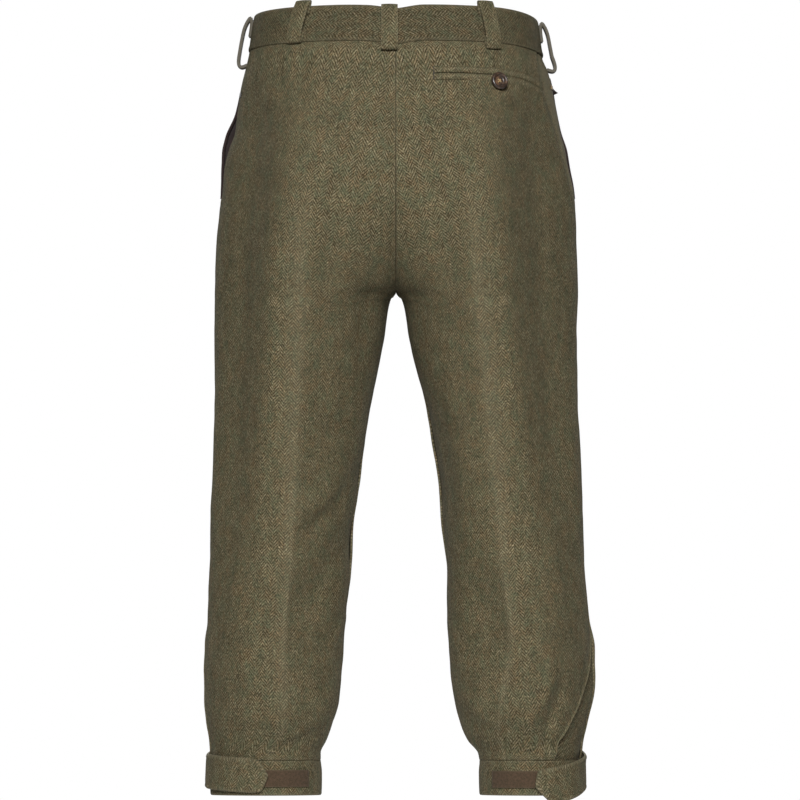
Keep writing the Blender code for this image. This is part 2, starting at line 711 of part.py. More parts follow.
def main():
    for obj in list(bpy.data.objects):
        bpy.data.objects.remove(obj)
    for label, side in SIDES.items():
        build_back(label, side)
        build_front(label, side)
        build_waistband(label, side)
        build_pocket_facing(label, side)
        build_pocket_edging(label, side)
        build_slit_underlap(label, side)
        build_cuff(label, side)
        build_hook_strip(label, side)
        build_cuff_tab(label, side)
    for loop in rows_of(LOOP_COLUMNS, LOOPS):
        build_belt_loop(loop)
    build_pocket_corner("right", 1)
    build_welt("pocket_welt_upper", POCKET_MOUTH - WELT_HEIGHT)
    build_welt("pocket_welt_lower", POCKET_MOUTH)
    distance, drop = POCKET_BUTTON
    around = float(back_around(1, drop, distance))
    build_button("pocket_button", 1, drop, around, WELT_LIFT + WELT + 2 * GAP + 0.6)
    build_button("waist_button", 1, 0.0, 0.955, BAND_PROUD + BAND + 3 * GAP + 0.2)


main()
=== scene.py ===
import math

import bmesh
import bpy
import numpy as np
from mathutils import Matrix, Vector, noise


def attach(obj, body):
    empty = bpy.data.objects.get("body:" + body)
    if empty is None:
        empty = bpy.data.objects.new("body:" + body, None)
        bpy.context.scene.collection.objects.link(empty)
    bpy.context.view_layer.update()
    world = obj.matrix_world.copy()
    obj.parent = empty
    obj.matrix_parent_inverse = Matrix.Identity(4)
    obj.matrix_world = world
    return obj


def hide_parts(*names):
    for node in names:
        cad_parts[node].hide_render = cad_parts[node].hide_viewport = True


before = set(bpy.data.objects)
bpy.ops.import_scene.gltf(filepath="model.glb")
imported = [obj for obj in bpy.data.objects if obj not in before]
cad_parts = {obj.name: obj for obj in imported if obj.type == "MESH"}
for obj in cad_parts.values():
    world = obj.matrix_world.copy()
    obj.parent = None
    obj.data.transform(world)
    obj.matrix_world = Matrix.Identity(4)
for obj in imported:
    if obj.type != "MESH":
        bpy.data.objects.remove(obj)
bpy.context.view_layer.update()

mm = 0.001

# The garment's form. A place on it is a side (-1 is the wearer's left, 1 the right), a drop in mm
# below the middle of the waist, and how far around: 0 back seam, 0.25 back crease, 0.5 side seam,
# 0.75 front crease, 1 front seam. Lengths in these tables are in mm, turns in degrees.
sections = {
    "columns": "drop seamDrop backSeam backCrease side frontCrease frontSeam backTurn frontTurn "
    "creaseTurn planed",  # planed: how far the outer back runs straight to the side, not round
    "rows": [
        (-24, -24, -116, -108, -2, 98, 110, 2, 1, 17, 0),
        (18, 18, -121, -114, -2, 104, 117, 3, 1, 17, 0.1),
        (60, 60, -134, -129, -3, 112, 125, 5, 2, 14, 0.4),
        (110, 110, -148, -148, -4, 120, 130, 10, 4, 9, 0.85),
        (165, 168, -147, -158, -5, 126, 128, 26, 9, 4, 1),
        (210, 216, -127, -153, -4, 128, 113, 44, 24, 2, 1),
        (245, 249, -95, -144, -3, 127, 84, 60, 50, 0, 1),
        (270, 264, -58, -137, -1, 125, 52, 75, 72, 0, 1),
        (290, 269, 2, -132, 0, 122, 2, 90, 90, 0, 1),
        (318, 306, 1, -125, 0, 117, 1, 90, 90, 0, 1),
        (402, 398, -2, -110, -2, 104, -2, 90, 90, 0, 1),
        (486, 486, -4, -99, -4, 92, -4, 90, 90, 0, 0.7),
        (570, 570, -5, -97, -5, 86, -5, 90, 90, 0, 0.35),
        (654, 654, -4, -95, -4, 84, -4, 90, 90, 0, 0.3),
        (700, 700, -3, -89, -2, 80, -3, 90, 90, 0, 0.1),
        (733, 733, -1, -75, 0, 73, -1, 90, 90, 0, 0),
        (752, 752, 1, -65, 2, 68, 1, 90, 90, 0, 0),
        (800, 800, 2, -63, 2, 67, 2, 90, 90, 0, 0),
    ],
}
# Distances from the middle plane. The creases turn by twice the kink, and lean turns the back one's
# two sides together, so that the inner side looks away and the outer one looks straight back.
outlineColumns = "drop inner backCrease frontCrease side lip kink lean"
outlines = {
    -1: {
        "columns": outlineColumns,
        "rows": [
            (-24, 0, 60, 66, 147, 147, 0, 0),
            (18, 0, 62, 68, 153.5, 153.5, 0, 0),
            (60, 0, 66, 72, 163, 163.5, 0, 0),
            (80, 0, 69, 75, 166, 169.5, 0, 0),
            (103, 0, 72, 79, 168.6, 181.5, 0, 0),
            (120, 0, 75, 82, 175, 185.5, 1, 0),
            (137, 0, 79, 85, 179, 184.8, 4, 0),
            (165, 0, 84, 90, 181.5, 183.5, 9, -6),
            (183, 0, 88, 93, 185, 185, 11, -4),
            (213, 0, 92, 97, 188, 188, 13, 2),
            (268, 0, 95, 101, 190, 190, 14, 10),
            (271, 4.2, 95, 101, 190, 190, 14, 10),
            (318, 12.6, 97, 103, 190, 190, 14, 12),
            (402, 28.4, 100, 109, 191, 191, 18, 18),
            (486, 41, 103, 116, 193, 193, 20, 20),
            (570, 48, 109, 122, 196, 196, 20, 18),
            (612, 53, 112, 125, 197, 197, 21, 20),
            (654, 55.7, 115, 128, 199.5, 199.5, 18, 18),
            (696, 60, 116, 130, 200, 200, 12, 12),
            (717, 66, 117, 132, 198.5, 198.5, 8, 8),
            (738, 73.5, 123, 133, 195, 195, 3, 0),
            (752, 79, 133, 134, 194, 194, 0, 0),
            (800, 79, 134, 134, 194, 194, 0, 0),
        ],
    },
    1: {
        "columns": outlineColumns,
        "rows": [
            (-24, 0, 58, 66, 147.5, 147.5, 0, 0),
            (18, 0, 60, 68, 153.3, 153.3, 0, 0),
            (35, 0, 61, 70, 160, 160, 0, 0),
            (60, 0, 63, 72, 165.6, 166, 0, 0),
            (80, 0, 65, 75, 169.6, 170.2, 0, 2),
            (103, 0, 66, 78, 173.6, 175.2, 1, 6),
            (120, 0, 67, 81, 178, 180.4, 5, 9),
            (137, 0, 68, 84, 181, 183, 12, 11),
            (165, 0, 70, 89, 187, 187.5, 17, 13),
            (213, 0, 75, 96, 189.5, 189.5, 18, 15),
            (268, 0, 80, 100, 190.5, 190.5, 17, 15),
            (271, 4.2, 80, 100, 190.5, 190.5, 17, 15),
            (318, 14, 86, 104, 190, 190, 16, 14),
            (402, 34, 94, 112, 192, 192, 15, 10),
            (486, 46.5, 102, 120, 195, 195, 15, 10),
            (570, 53.3, 111, 126, 199.5, 199.5, 18, 20),
            (612, 53.5, 116, 128, 202, 203.5, 20, 24),
            (640, 55.5, 119, 130, 203, 208.5, 17, 20),
            (680, 58.8, 123, 131, 201, 208.5, 10, 12),
            (717, 66.5, 128, 133, 195, 202.5, 5, 6),
            (738, 75, 134, 137, 194, 197.8, 2, 0),
            (752, 86, 140, 141, 195, 195.5, 0, 0),
            (764, 88, 141, 141.5, 193.6, 193.6, 0, 0),
            (800, 88.5, 141.5, 141.5, 193.6, 193.6, 0, 0),
        ],
    },
}
waistLine = {  # how far the waist's mid line is above the origin's level
    "columns": "around left right",
    "rows": [
        (0, -1.5, -1.5), (0.12, 2, 2.5), (0.3, 3, 3),
        (0.5, 2, -4), (0.75, -6, -9), (1, -12, -12),
    ],
}
slit = {  # where the back panel's edge leaves the side seam above the cuff
    "columns": "drop left right",
    "rows": [
        (600, 0.5, 0.5), (640, 0.5, 0.488), (663, 0.498, 0.472), (682, 0.496, 0.447),
        (700, 0.495, 0.425), (720, 0.492, 0.388), (748, 0.489, 0.335), (760, 0.488, 0.32),
    ],
}
mouth = {  # where the front panel's edge leaves the side seam at the hip pocket
    "columns": "drop left right",
    "rows": [
        (34, 0.5, 0.5), (70, 0.515, 0.509), (110, 0.528, 0.514), (140, 0.52, 0.511), (172, 0.5, 0.5),
    ],
}
sides = {"left": -1, "right": 1}


def steadyTable(table):  # smooth curves through the columns that never overshoot the values
    names = table["columns"].split()
    rows = np.array(table["rows"], float)
    at, gaps = rows[:, 0], np.diff(rows[:, 0])
    slopes = {}
    for name, values in zip(names, rows.T):
        rises = np.diff(values) / gaps
        slope = np.concatenate([rises[:1], np.zeros(len(rises) - 1), rises[-1:]])
        for i in range(1, len(rises)):
            if rises[i - 1] * rises[i] > 0:
                before, after = 2 * gaps[i] + gaps[i - 1], gaps[i] + 2 * gaps[i - 1]
                slope[i] = (before + after) / (before / rises[i - 1] + after / rises[i])
        slopes[name] = slope

    def read(name, where):
        where = np.clip(where, at[0], at[-1])
        i = np.clip(np.searchsorted(at, where, side="right") - 1, 0, len(at) - 2)
        gap = at[i + 1] - at[i]
        t = (where - at[i]) / gap
        value, slope = rows[:, names.index(name)], slopes[name]
        level = value[i] * (1 + 2 * t) * (1 - t) ** 2 + value[i + 1] * t * t * (3 - 2 * t)
        return level + gap * (slope[i] * t * (1 - t) ** 2 - slope[i + 1] * t * t * (1 - t))

    return read


sectionAt = steadyTable(sections)
outlineAt = {side: steadyTable(table) for side, table in outlines.items()}
waistLineAt = steadyTable(waistLine)
slitAt = steadyTable(slit)
mouthAt = steadyTable(mouth)


def labelOf(side):
    return "left" if side < 0 else "right"


def eased(t):
    t = np.clip(t, 0, 1)
    return t * t * (3 - 2 * t)


def between(low, high, share):
    return low + (high - low) * share


def unit(vectors):
    return vectors / np.maximum(np.linalg.norm(vectors, axis=-1, keepdims=True), 1e-12)


def hump(distance, width):  # 1 in the middle, falling softly to nothing
    return np.exp(-((distance / width) ** 2))


def fromEnds(share):  # how far a share is from the nearer of 0 and 1
    return np.minimum(share, 1 - share)


def heading(degrees):
    return np.stack([np.cos(np.radians(degrees)), np.sin(np.radians(degrees))], -1)


def arc(start, end, leaves, arrives, t):
    chord = end - start
    least = 0.2 * np.linalg.norm(chord, axis=-1)
    fullness = 0.36 + 0.19 * np.abs(leaves - arrives) / 90
    out, into = heading(leaves), heading(arrives)
    first = start + out * (fullness * np.maximum((chord * out).sum(-1), least))[..., None]
    last = end - into * (fullness * np.maximum((chord * into).sum(-1), least))[..., None]
    t = t[..., None]
    s = 1 - t
    return start * s**3 + 3 * first * s * s * t + 3 * last * s * t * t + end * t**3


pressed = {"flat": 38, "corner": 3.2, "pace": 3}  # the flat beside a crease, mm, and how it bends


def planedArc(start, end, leaves, t):  # flat beside the crease, then straight to the side
    corner = start + heading(leaves) * pressed["flat"]
    t = t[..., None]
    near, far = (1 - t) ** 2, (pressed["pace"] * t) ** 2
    bend = 2 * pressed["corner"] * pressed["pace"] * t * (1 - t)
    return (start * near + corner * bend + end * far) / (near + bend + far)


def sectionPoint(side, drop, around):
    outline = outlineAt[side]
    back = around <= 0.5
    away = np.where(back, -1, 1)
    share = np.where(back, around, 1 - around)
    seamDrop = sectionAt("seamDrop", drop)

    def facing(table, backName, frontName, where):
        return np.where(back, table(backName, where), table(frontName, where))

    seamY = away * facing(sectionAt, "backSeam", "frontSeam", drop)
    creaseY = away * facing(sectionAt, "backCrease", "frontCrease", drop)
    seam = np.stack([outline("inner", seamDrop), seamY], -1)
    crease = np.stack([facing(outline, "backCrease", "frontCrease", drop), creaseY], -1)
    edge = np.stack([facing(outline, "side", "lip", drop), away * sectionAt("side", drop)], -1)
    turn, kink = sectionAt("creaseTurn", drop), outline("kink", drop)
    inner = share < 0.25
    t = np.where(inner, share, share - 0.25) / 0.25
    leaves = facing(sectionAt, "backTurn", "frontTurn", drop)
    turn = turn - outline("lean", drop) * back
    near = arc(seam, crease, leaves, kink - turn, t)
    far = arc(crease, edge, -kink - turn, np.full_like(kink, -90.0), t)
    planed = sectionAt("planed", drop) * back * (1 - eased((t - 0.6) / 0.4))
    far = far + (planedArc(crease, edge, -kink - turn, t) - far) * planed[..., None]
    flat = np.where(inner[..., None], near, far)
    level = np.where(inner, seamDrop + (drop - seamDrop) * t, drop)
    return flat[..., 0], away * flat[..., 1], level


def lineRise(side, drop, around):
    waist = waistLineAt(labelOf(side), around) * eased(1 - drop / 150)
    hem = np.sin(np.minimum(around, 0.5) * 2 * math.pi) * eased((drop - 690) / 60)
    return waist + 6.5 * hem


def barePoint(side, drop, around):
    drop, around = np.broadcast_arrays(np.asarray(drop, float), np.asarray(around, float))
    x, y, level = sectionPoint(side, drop, around)
    return np.stack([side * x, y, lineRise(side, drop, around) - level], -1)


def outward(side, drop, around):
    drop, around = np.broadcast_arrays(np.asarray(drop, float), np.asarray(around, float))
    across = barePoint(side, drop, np.minimum(1, around + 0.01))
    across = across - barePoint(side, drop, np.maximum(0, around - 0.01))
    down = barePoint(side, drop + 2, around) - barePoint(side, drop - 2, around)
    return unit(side * np.cross(down, across))


# Folds and creases of the worn cloth: a soft curve drawn by three places, each given as its distance
# from the middle plane and its drop. Height is outwards; sharp below 1 narrows the outer flank.
foldColumns = "side back x1 drop1 x2 drop2 x3 drop3 width height sharp"
folds = [
    (-1, 1, 24, 246, 31, 300, 34, 356, 11, -3.4, 1.0),  # left leg, along the inseam
    (-1, 1, 110, 500, 72, 492, 46, 462, 18, 5.5, 1.0),  # roll behind the knee
    (-1, 1, 34, 446, 62, 494, 92, 516, 12, -5.6, 0.8),  # hollow under it
    (-1, 1, 46, 505, 58, 560, 112, 606, 17, -6.0, 0.9),  # long slack hollow to the crease
    (-1, 1, 52, 604, 60, 618, 67, 632, 5, 1.6, 0.6),
    (-1, 1, 165, 668, 128, 690, 100, 706, 34, 4.0, 1.0),  # fullness over the cuff
    (-1, 1, 150, 660, 143, 674, 134, 688, 7, 1.6, 0.6),
    (-1, 1, 120, 739, 98, 733, 76, 722, 8, -3.4, 0.7),
    (-1, 1, 175, 735, 160, 728, 150, 716, 8, -2.0, 1.0),
    (-1, 1, 178, 520, 170, 545, 150, 560, 16, -2.0, 1.0),
    (1, 1, 35, 380, 50, 450, 60, 515, 13, -4.0, 1.0),  # right leg, along the inseam
    (1, 1, 42, 415, 46, 440, 48, 466, 4, 1.0, 0.6),
    (1, 1, 180, 390, 184, 430, 185, 465, 5, 1.2, 0.7),
    (1, 1, 162, 662, 153, 684, 141, 704, 9, 4.2, 0.7),  # pull up from the right tab
    (1, 1, 174, 676, 166, 700, 152, 724, 9, -5.4, 0.8),
    (1, 1, 160, 712, 155, 728, 153, 745, 5, -3.0, 0.8),
    (1, 1, 100, 700, 128, 694, 150, 702, 26, 3.0, 1.0),
    (1, 1, 70, 706, 83, 716, 98, 722, 9, -2.6, 0.8),
    (1, 1, 150, 742, 166, 734, 180, 736, 7, -2.6, 1.0),
    (1, 1, 70, 545, 88, 580, 106, 640, 18, -3.0, 1.0),
    (-1, 1, 150, 200, 140, 250, 150, 300, 26, -1.2, 1.0),
    (1, 1, 150, 210, 142, 260, 150, 320, 26, -1.2, 1.0),
    (-1, 0, 60, 470, 105, 478, 160, 506, 30, 4.5, 1.0),  # fullness over the knees
    (-1, 0, 55, 510, 95, 520, 140, 545, 18, -3.0, 1.0),
    (-1, 0, 90, 585, 120, 600, 165, 598, 20, -2.2, 1.0),
    (-1, 0, 24, 262, 45, 300, 60, 350, 16, -3.0, 1.0),
    (-1, 0, 30, 255, 70, 240, 110, 232, 14, -2.4, 1.0),
    (-1, 0, 160, 668, 130, 690, 95, 700, 30, 3.5, 1.0),
    (-1, 0, 90, 734, 120, 728, 150, 738, 9, -3.0, 0.8),
    (1, 0, 155, 482, 110, 488, 66, 516, 30, 4.5, 1.0),
    (1, 0, 150, 520, 110, 530, 70, 558, 18, -3.0, 1.0),
    (1, 0, 95, 610, 130, 600, 160, 616, 20, -2.2, 1.0),
    (1, 0, 22, 262, 40, 302, 52, 345, 16, -3.0, 1.0),
    (1, 0, 28, 252, 66, 246, 104, 226, 14, -2.4, 1.0),
    (1, 0, 165, 672, 135, 692, 100, 704, 30, 3.5, 1.0),
    (1, 0, 100, 736, 128, 726, 160, 740, 9, -3.0, 0.8),
]


def foldHeight(side, back, x, drop):
    total = np.zeros_like(x)
    t = np.linspace(0, 1, 25)
    for row in folds:
        fold = dict(zip(foldColumns.split(), row))
        if fold["side"] != side:
            continue
        path = np.outer((1 - t) ** 2, (fold["x1"], fold["drop1"]))
        path = path + np.outer(2 * t * (1 - t), (fold["x2"], fold["drop2"]))
        path = path + np.outer(t * t, (fold["x3"], fold["drop3"]))
        box = np.array([path.min(0) - 2.6 * fold["width"], path.max(0) + 2.6 * fold["width"]])
        near = (x > box[0, 0]) & (x < box[1, 0]) & (drop > box[0, 1]) & (drop < box[1, 1])
        near &= back == bool(fold["back"])
        if not near.any():
            continue
        gaps = np.stack([x[near], drop[near]], -1)[:, None, :] - path[None]
        far = np.linalg.norm(gaps, axis=-1)
        nearest = far.argmin(1)
        share = t[nearest]
        outer = gaps[np.arange(len(nearest)), nearest, 0] > 0
        width = fold["width"] * np.where(outer, fold["sharp"], 1.0)
        taper = 0.35 + 0.65 * np.sin(math.pi * share) ** 0.7
        total[near] += fold["height"] * taper * hump(far.min(1), width)
    return total


def slackHeight(points):  # the slow unevenness of cloth that has been worn and pressed
    places = points.reshape(-1, 3)
    coarse = [noise.noise(Vector(p) * 0.017) for p in places]
    fine = [noise.noise(Vector(p) * 0.055 + Vector((7, 3, 1))) for p in places]
    return (np.array(coarse) * 1.3 + np.array(fine) * 0.45).reshape(points.shape[:-1])


def nearSidePoint(side, drop, around, lift):
    point, normal = barePoint(side, drop, around), outward(side, drop, around)
    back = np.broadcast_to(np.asarray(around) <= 0.5, point.shape[:-1])
    worn = foldHeight(side, back, np.abs(point[..., 0]), -point[..., 2])
    calm = eased((np.asarray(drop) - 20) / 50) * eased((757 - np.asarray(drop)) / 14)
    return point + normal * (np.asarray(lift) + (worn + slackHeight(point)) * calm)[..., None]


def clothPoint(side, drop, around, lift=0.0):
    drop, around, lift = np.broadcast_arrays(*(np.asarray(v, float) for v in (drop, around, lift)))
    here = nearSidePoint(side, drop, np.clip(around, 0, 1), lift)
    if not (around > 1).any():
        return here
    beyond = nearSidePoint(-side, drop, np.clip(2 - around, 0, 1), lift)
    return np.where((around > 1)[..., None], beyond, here)


def backAround(side, drop, distance):
    drop, distance = np.broadcast_arrays(np.asarray(drop, float), np.asarray(distance, float))
    low, high = np.zeros_like(drop), np.full_like(drop, 0.5)
    for _ in range(26):
        middle = (low + high) / 2
        inside = np.abs(barePoint(side, drop, middle)[..., 0]) < distance
        low, high = np.where(inside, middle, low), np.where(inside, high, middle)
    return (low + high) / 2


def keepToSide(points, side, bare=None):  # bare: the same places unlifted, which meet at the middle
    points = points.copy()
    if bare is not None:
        points[..., 0] = np.where(np.abs(bare[..., 0]) < 3, bare[..., 0], points[..., 0])
    points[..., 0] = side * np.maximum(side * points[..., 0], 0)
    return points


def denserAt(count, places, reach, gain):  # shares from 0 to 1, closer together near the places
    x = np.linspace(0, 1, 4001)
    density = 1 + sum(gain * hump(x - place, reach) for place in places)
    total = np.concatenate([[0], np.cumsum((density[1:] + density[:-1]) / 2)])
    return np.interp(np.linspace(0, 1, count + 1), total / total[-1], x)


print("form ready")


# Shader helpers: each returns a socket
def put(tree, kind, inputs=(), output=0, **settings):
    node = tree.nodes.new(kind)
    for name, value in settings.items():
        setattr(node, name, value)
    for key, value in dict(inputs).items():
        if isinstance(value, bpy.types.NodeSocket):
            tree.links.new(value, node.inputs[key])
        else:
            node.inputs[key].default_value = value
    return node.outputs[output]


def calc(tree, operation, a, b=0.0, c=0.0):
    return put(tree, "ShaderNodeMath", {0: a, 1: b, 2: c}, operation=operation)


def mixColour(tree, share, a, b, blend="MIX"):
    inputs = {0: share, 6: a, 7: b}
    return put(tree, "ShaderNodeMix", inputs, output=2, data_type="RGBA", blend_type=blend)


def smoothStep(tree, value, low, high):
    inputs = {0: value, 1: low, 2: high, 3: 0.0, 4: 1.0}
    return put(tree, "ShaderNodeMapRange", inputs, interpolation_type="SMOOTHSTEP")


def noiseOf(tree, vector, scale, detail=2.0, roughness=0.5, distortion=0.0, output=0):
    inputs = {"Vector": vector, "Scale": scale, "Detail": detail, "Roughness": roughness,
              "Distortion": distortion}
    return put(tree, "ShaderNodeTexNoise", inputs, output)


def clothOf(tree):  # where on the flat cloth, in metres
    return put(tree, "ShaderNodeUVMap", uv_map="cloth")


def placeOf(tree):
    return put(tree, "ShaderNodeTexCoord", output="Object")


def wearAndPaintedLightOf(tree):
    return put(tree, "ShaderNodeAttribute", output=2, attribute_name="wearAndPaintedLight")


def makeGroup(name, inputs, outputs):
    group = bpy.data.node_groups.new(name, "ShaderNodeTree")
    for label, (kind, value) in inputs.items():
        kind = "NodeSocket" + kind
        socket = group.interface.new_socket(name=label, in_out="INPUT", socket_type=kind)
        if value is not None:
            socket.default_value = value
    for label, kind in outputs.items():
        kind = "NodeSocket" + kind
        group.interface.new_socket(name=label, in_out="OUTPUT", socket_type=kind)
    into = group.nodes.new("NodeGroupInput").outputs
    out = group.nodes.new("NodeGroupOutput").inputs
    return group, into, out


# The herringbone tweed: sizes in mm, colours linear
tweed = {
    "end": 0.775,  # from one warp yarn to the next
    "pick": 0.885,  # from one weft yarn to the next
    "stripe": 8,  # ends lean one way, then as many the other
    "wander": 1.4,
    "warp": (0.250, 0.217, 0.140, 1),
    "warpDark": (0.118, 0.097, 0.052, 1),
    "weft": (0.053, 0.040, 0.017, 1),
    "weftLight": (0.105, 0.084, 0.041, 1),
    "straw": (0.44, 0.39, 0.26, 1),
    "rust": (0.220, 0.122, 0.058, 1),
    "green": (0.084, 0.107, 0.062, 1),
    "rustShare": 0.42,
    "greenShare": 0.62,
    "greenInWeft": 0.4,
    "strawShare": 0.8,
    "worn": 0.3,
}


def buildWeave():
    group, into, out = makeGroup(
        "herringbone tweed",
        {"Cloth": ("Vector", None), "WearAndPaintedLight": ("Float", 0.0), "Shade": ("Float", 1.0)},
        {"Colour": "Color", "Height": "Float", "Roughness": "Float"},
    )

    def number(operation, a, b=0.0, c=0.0):
        return calc(group, operation, a, b, c)

    def vector(operation, inputs):
        return put(group, "ShaderNodeVectorMath", inputs, operation=operation)

    def runOf(place, scale, detail, roughness, location=(0, 0, 0)):  # patches longer than wide
        inputs = {"Vector": place, "Location": location, "Scale": scale}
        return noiseOf(group, put(group, "ShaderNodeMapping", inputs), 1.0, detail, roughness)

    def tinted(share, strength, base, colour):
        return mixColour(group, number("MULTIPLY", share, strength), base, colour)

    # the yarns of a finished tweed wander a little
    millimetres = vector("SCALE", {0: into["Cloth"], "Scale": 1000.0})
    wander = noiseOf(group, millimetres, 0.07, output=1)
    shift = vector("SUBTRACT", {0: wander, 1: (0.5, 0.5, 0.5)})
    shift = vector("SCALE", {0: shift, "Scale": tweed["wander"]})
    place = vector("ADD", {0: millimetres, 1: shift})
    parts = group.nodes.new("ShaderNodeSeparateXYZ")
    group.links.new(place, parts.inputs[0])
    ends = number("DIVIDE", parts.outputs[0], tweed["end"])
    picks = number("DIVIDE", parts.outputs[1], tweed["pick"])
    end, pick = number("FLOOR", ends), number("FLOOR", picks)
    # two up and two down, one yarn further each row, leaning the other way in each second stripe
    stripe = number("FLOOR", number("DIVIDE", end, tweed["stripe"]))
    odd = number("FLOORED_MODULO", stripe, 2.0)
    lean = number("MULTIPLY_ADD", odd, -2.0, 1.0)
    step = number("ADD", number("MULTIPLY_ADD", end, lean, pick), odd)
    over = number("LESS_THAN", number("FLOORED_MODULO", step, 4.0), 1.5)

    def yarnTop(value):  # its rounded top
        return number("SINE", number("MULTIPLY", number("FRACT", value), math.pi))

    def yarnTone(index, pace, length, seed):
        inputs = {0: number("MULTIPLY", index, pace), 1: number("MULTIPLY", length, 0.21), 2: seed}
        return noiseOf(group, put(group, "ShaderNodeCombineXYZ", inputs), 1.0, 3.0, 0.8)

    warpTop, weftTop = yarnTop(ends), yarnTop(picks)
    height = number("MULTIPLY_ADD", number("SUBTRACT", warpTop, weftTop), over, weftTop)
    warpTone = yarnTone(end, 5.7, picks, 0.0)
    weftTone = yarnTone(pick, 5.1, ends, 5.0)
    greenRun = runOf(place, (0.07, 0.045, 1.0), 5.0, 0.95)
    rustRun = runOf(place, (0.08, 0.05, 1.0), 5.0, 0.95, (37, 11, 0))
    toneRun = runOf(place, (0.06, 0.035, 1.0), 6.0, 1.0, (5, 71, 0))
    fleck = noiseOf(group, place, 0.9, 1.0)

    warp = mixColour(group, smoothStep(group, warpTone, 0.38, 0.62), tweed["warpDark"], tweed["warp"])
    weft = mixColour(group, smoothStep(group, weftTone, 0.42, 0.66), tweed["weft"], tweed["weftLight"])
    green = smoothStep(group, greenRun, 0.43, 0.62)
    rust = smoothStep(group, rustRun, 0.45, 0.63)
    warp = tinted(green, tweed["greenShare"], warp, tweed["green"])
    warp = tinted(rust, tweed["rustShare"], warp, tweed["rust"])
    weft = tinted(green, tweed["greenInWeft"], weft, tweed["green"])
    colour = mixColour(group, over, weft, warp)
    straw = smoothStep(group, fleck, 0.68, 0.8)
    colour = tinted(straw, tweed["strawShare"], colour, tweed["straw"])

    # painted shade between the yarns, and tone uneven from place to place
    depth = number("MULTIPLY_ADD", smoothStep(group, height, 0.0, 0.8), 0.45, 0.55)
    tone = number("MULTIPLY_ADD", toneRun, 2.1, -0.08)
    blotch = number("MULTIPLY_ADD", noiseOf(group, place, 0.42, 3.0, 0.75), 3.2, -0.62)
    shade = number("MULTIPLY", depth, number("MULTIPLY", tone, blotch))
    # the Shade input darkens a whole copy of the weave; under the slits that darkening is painted
    # shade
    shade = number("MULTIPLY", shade, into["Shade"])
    grey = put(group, "ShaderNodeCombineColor", {0: shade, 1: shade, 2: shade})
    colour = mixColour(group, 1.0, colour, grey, "MULTIPLY")
    # towards the warp colour where the cloth is worn, and where light is painted on the back panels
    colour = tinted(into["WearAndPaintedLight"], tweed["worn"], colour, tweed["warp"])
    fibre = noiseOf(group, place, 4.5)
    group.links.new(colour, out["Colour"])
    group.links.new(number("MULTIPLY_ADD", fibre, 0.55, height), out["Height"])
    group.links.new(number("MULTIPLY_ADD", fibre, 0.25, 0.75), out["Roughness"])
    return group


weave = buildWeave()


def startMaterial(name):
    made = bpy.data.materials.new(name)
    made.use_nodes = True
    shader = made.node_tree.nodes["Principled BSDF"]
    return made, made.node_tree, shader


# The colour, roughness and height vary over the surface; constants are the shader's own values
def finishMaterial(tree, shader, colour, roughness, height, strength, distance, constants):
    inputs = {"Height": height, "Strength": strength, "Distance": distance}
    tree.links.new(colour, shader.inputs["Base Color"])
    tree.links.new(roughness, shader.inputs["Roughness"])
    tree.links.new(put(tree, "ShaderNodeBump", inputs), shader.inputs["Normal"])
    for name, value in constants.items():
        shader.inputs[name].default_value = value


def tweedMaterial(name, turn, shade):  # turn is the grain's angle from the piece's own length
    made, tree, shader = startMaterial(name)
    inputs = {"Vector": clothOf(tree), "Rotation": (0, 0, math.radians(turn))}
    turned = put(tree, "ShaderNodeMapping", inputs)
    woven = tree.nodes.new("ShaderNodeGroup")
    woven.node_tree = weave
    tree.links.new(turned, woven.inputs["Cloth"])
    tree.links.new(wearAndPaintedLightOf(tree), woven.inputs["WearAndPaintedLight"])
    woven.inputs["Shade"].default_value = shade
    shown = [woven.outputs[output] for output in ("Colour", "Roughness", "Height")]
    sheen = {"Sheen Weight": 0.04, "Sheen Roughness": 0.4, "Sheen Tint": (0.72, 0.68, 0.48, 1)}
    finishMaterial(tree, shader, *shown, 0.6, 0.0002, {**sheen, "Specular IOR Level": 0.12})
    return made


def trimMaterial():  # dark brown needlecord
    made, tree, shader = startMaterial("pocket trim cord")
    cloth = clothOf(tree)
    parts = tree.nodes.new("ShaderNodeSeparateXYZ")
    tree.links.new(cloth, parts.inputs[0])
    rib = calc(tree, "SINE", calc(tree, "MULTIPLY", parts.outputs[0], 2 * math.pi / 0.0013))
    rib = calc(tree, "MULTIPLY_ADD", rib, 0.5, 0.5)
    nap = noiseOf(tree, cloth, 900.0, 3.0)
    patch = noiseOf(tree, cloth, 60.0)
    colour = mixColour(tree, rib, (0.012, 0.008, 0.008, 1), (0.042, 0.026, 0.024, 1))
    lighter = calc(tree, "MULTIPLY", smoothStep(tree, patch, 0.45, 0.75), 0.25)
    colour = mixColour(tree, lighter, colour, (0.065, 0.041, 0.034, 1))
    roughness = calc(tree, "MULTIPLY_ADD", nap, 0.3, 0.6)
    height = calc(tree, "MULTIPLY_ADD", nap, 0.4, rib)
    constants = {"Sheen Weight": 0.03, "Specular IOR Level": 0.12}
    finishMaterial(tree, shader, colour, roughness, height, 0.6, 0.0003, constants)
    return made


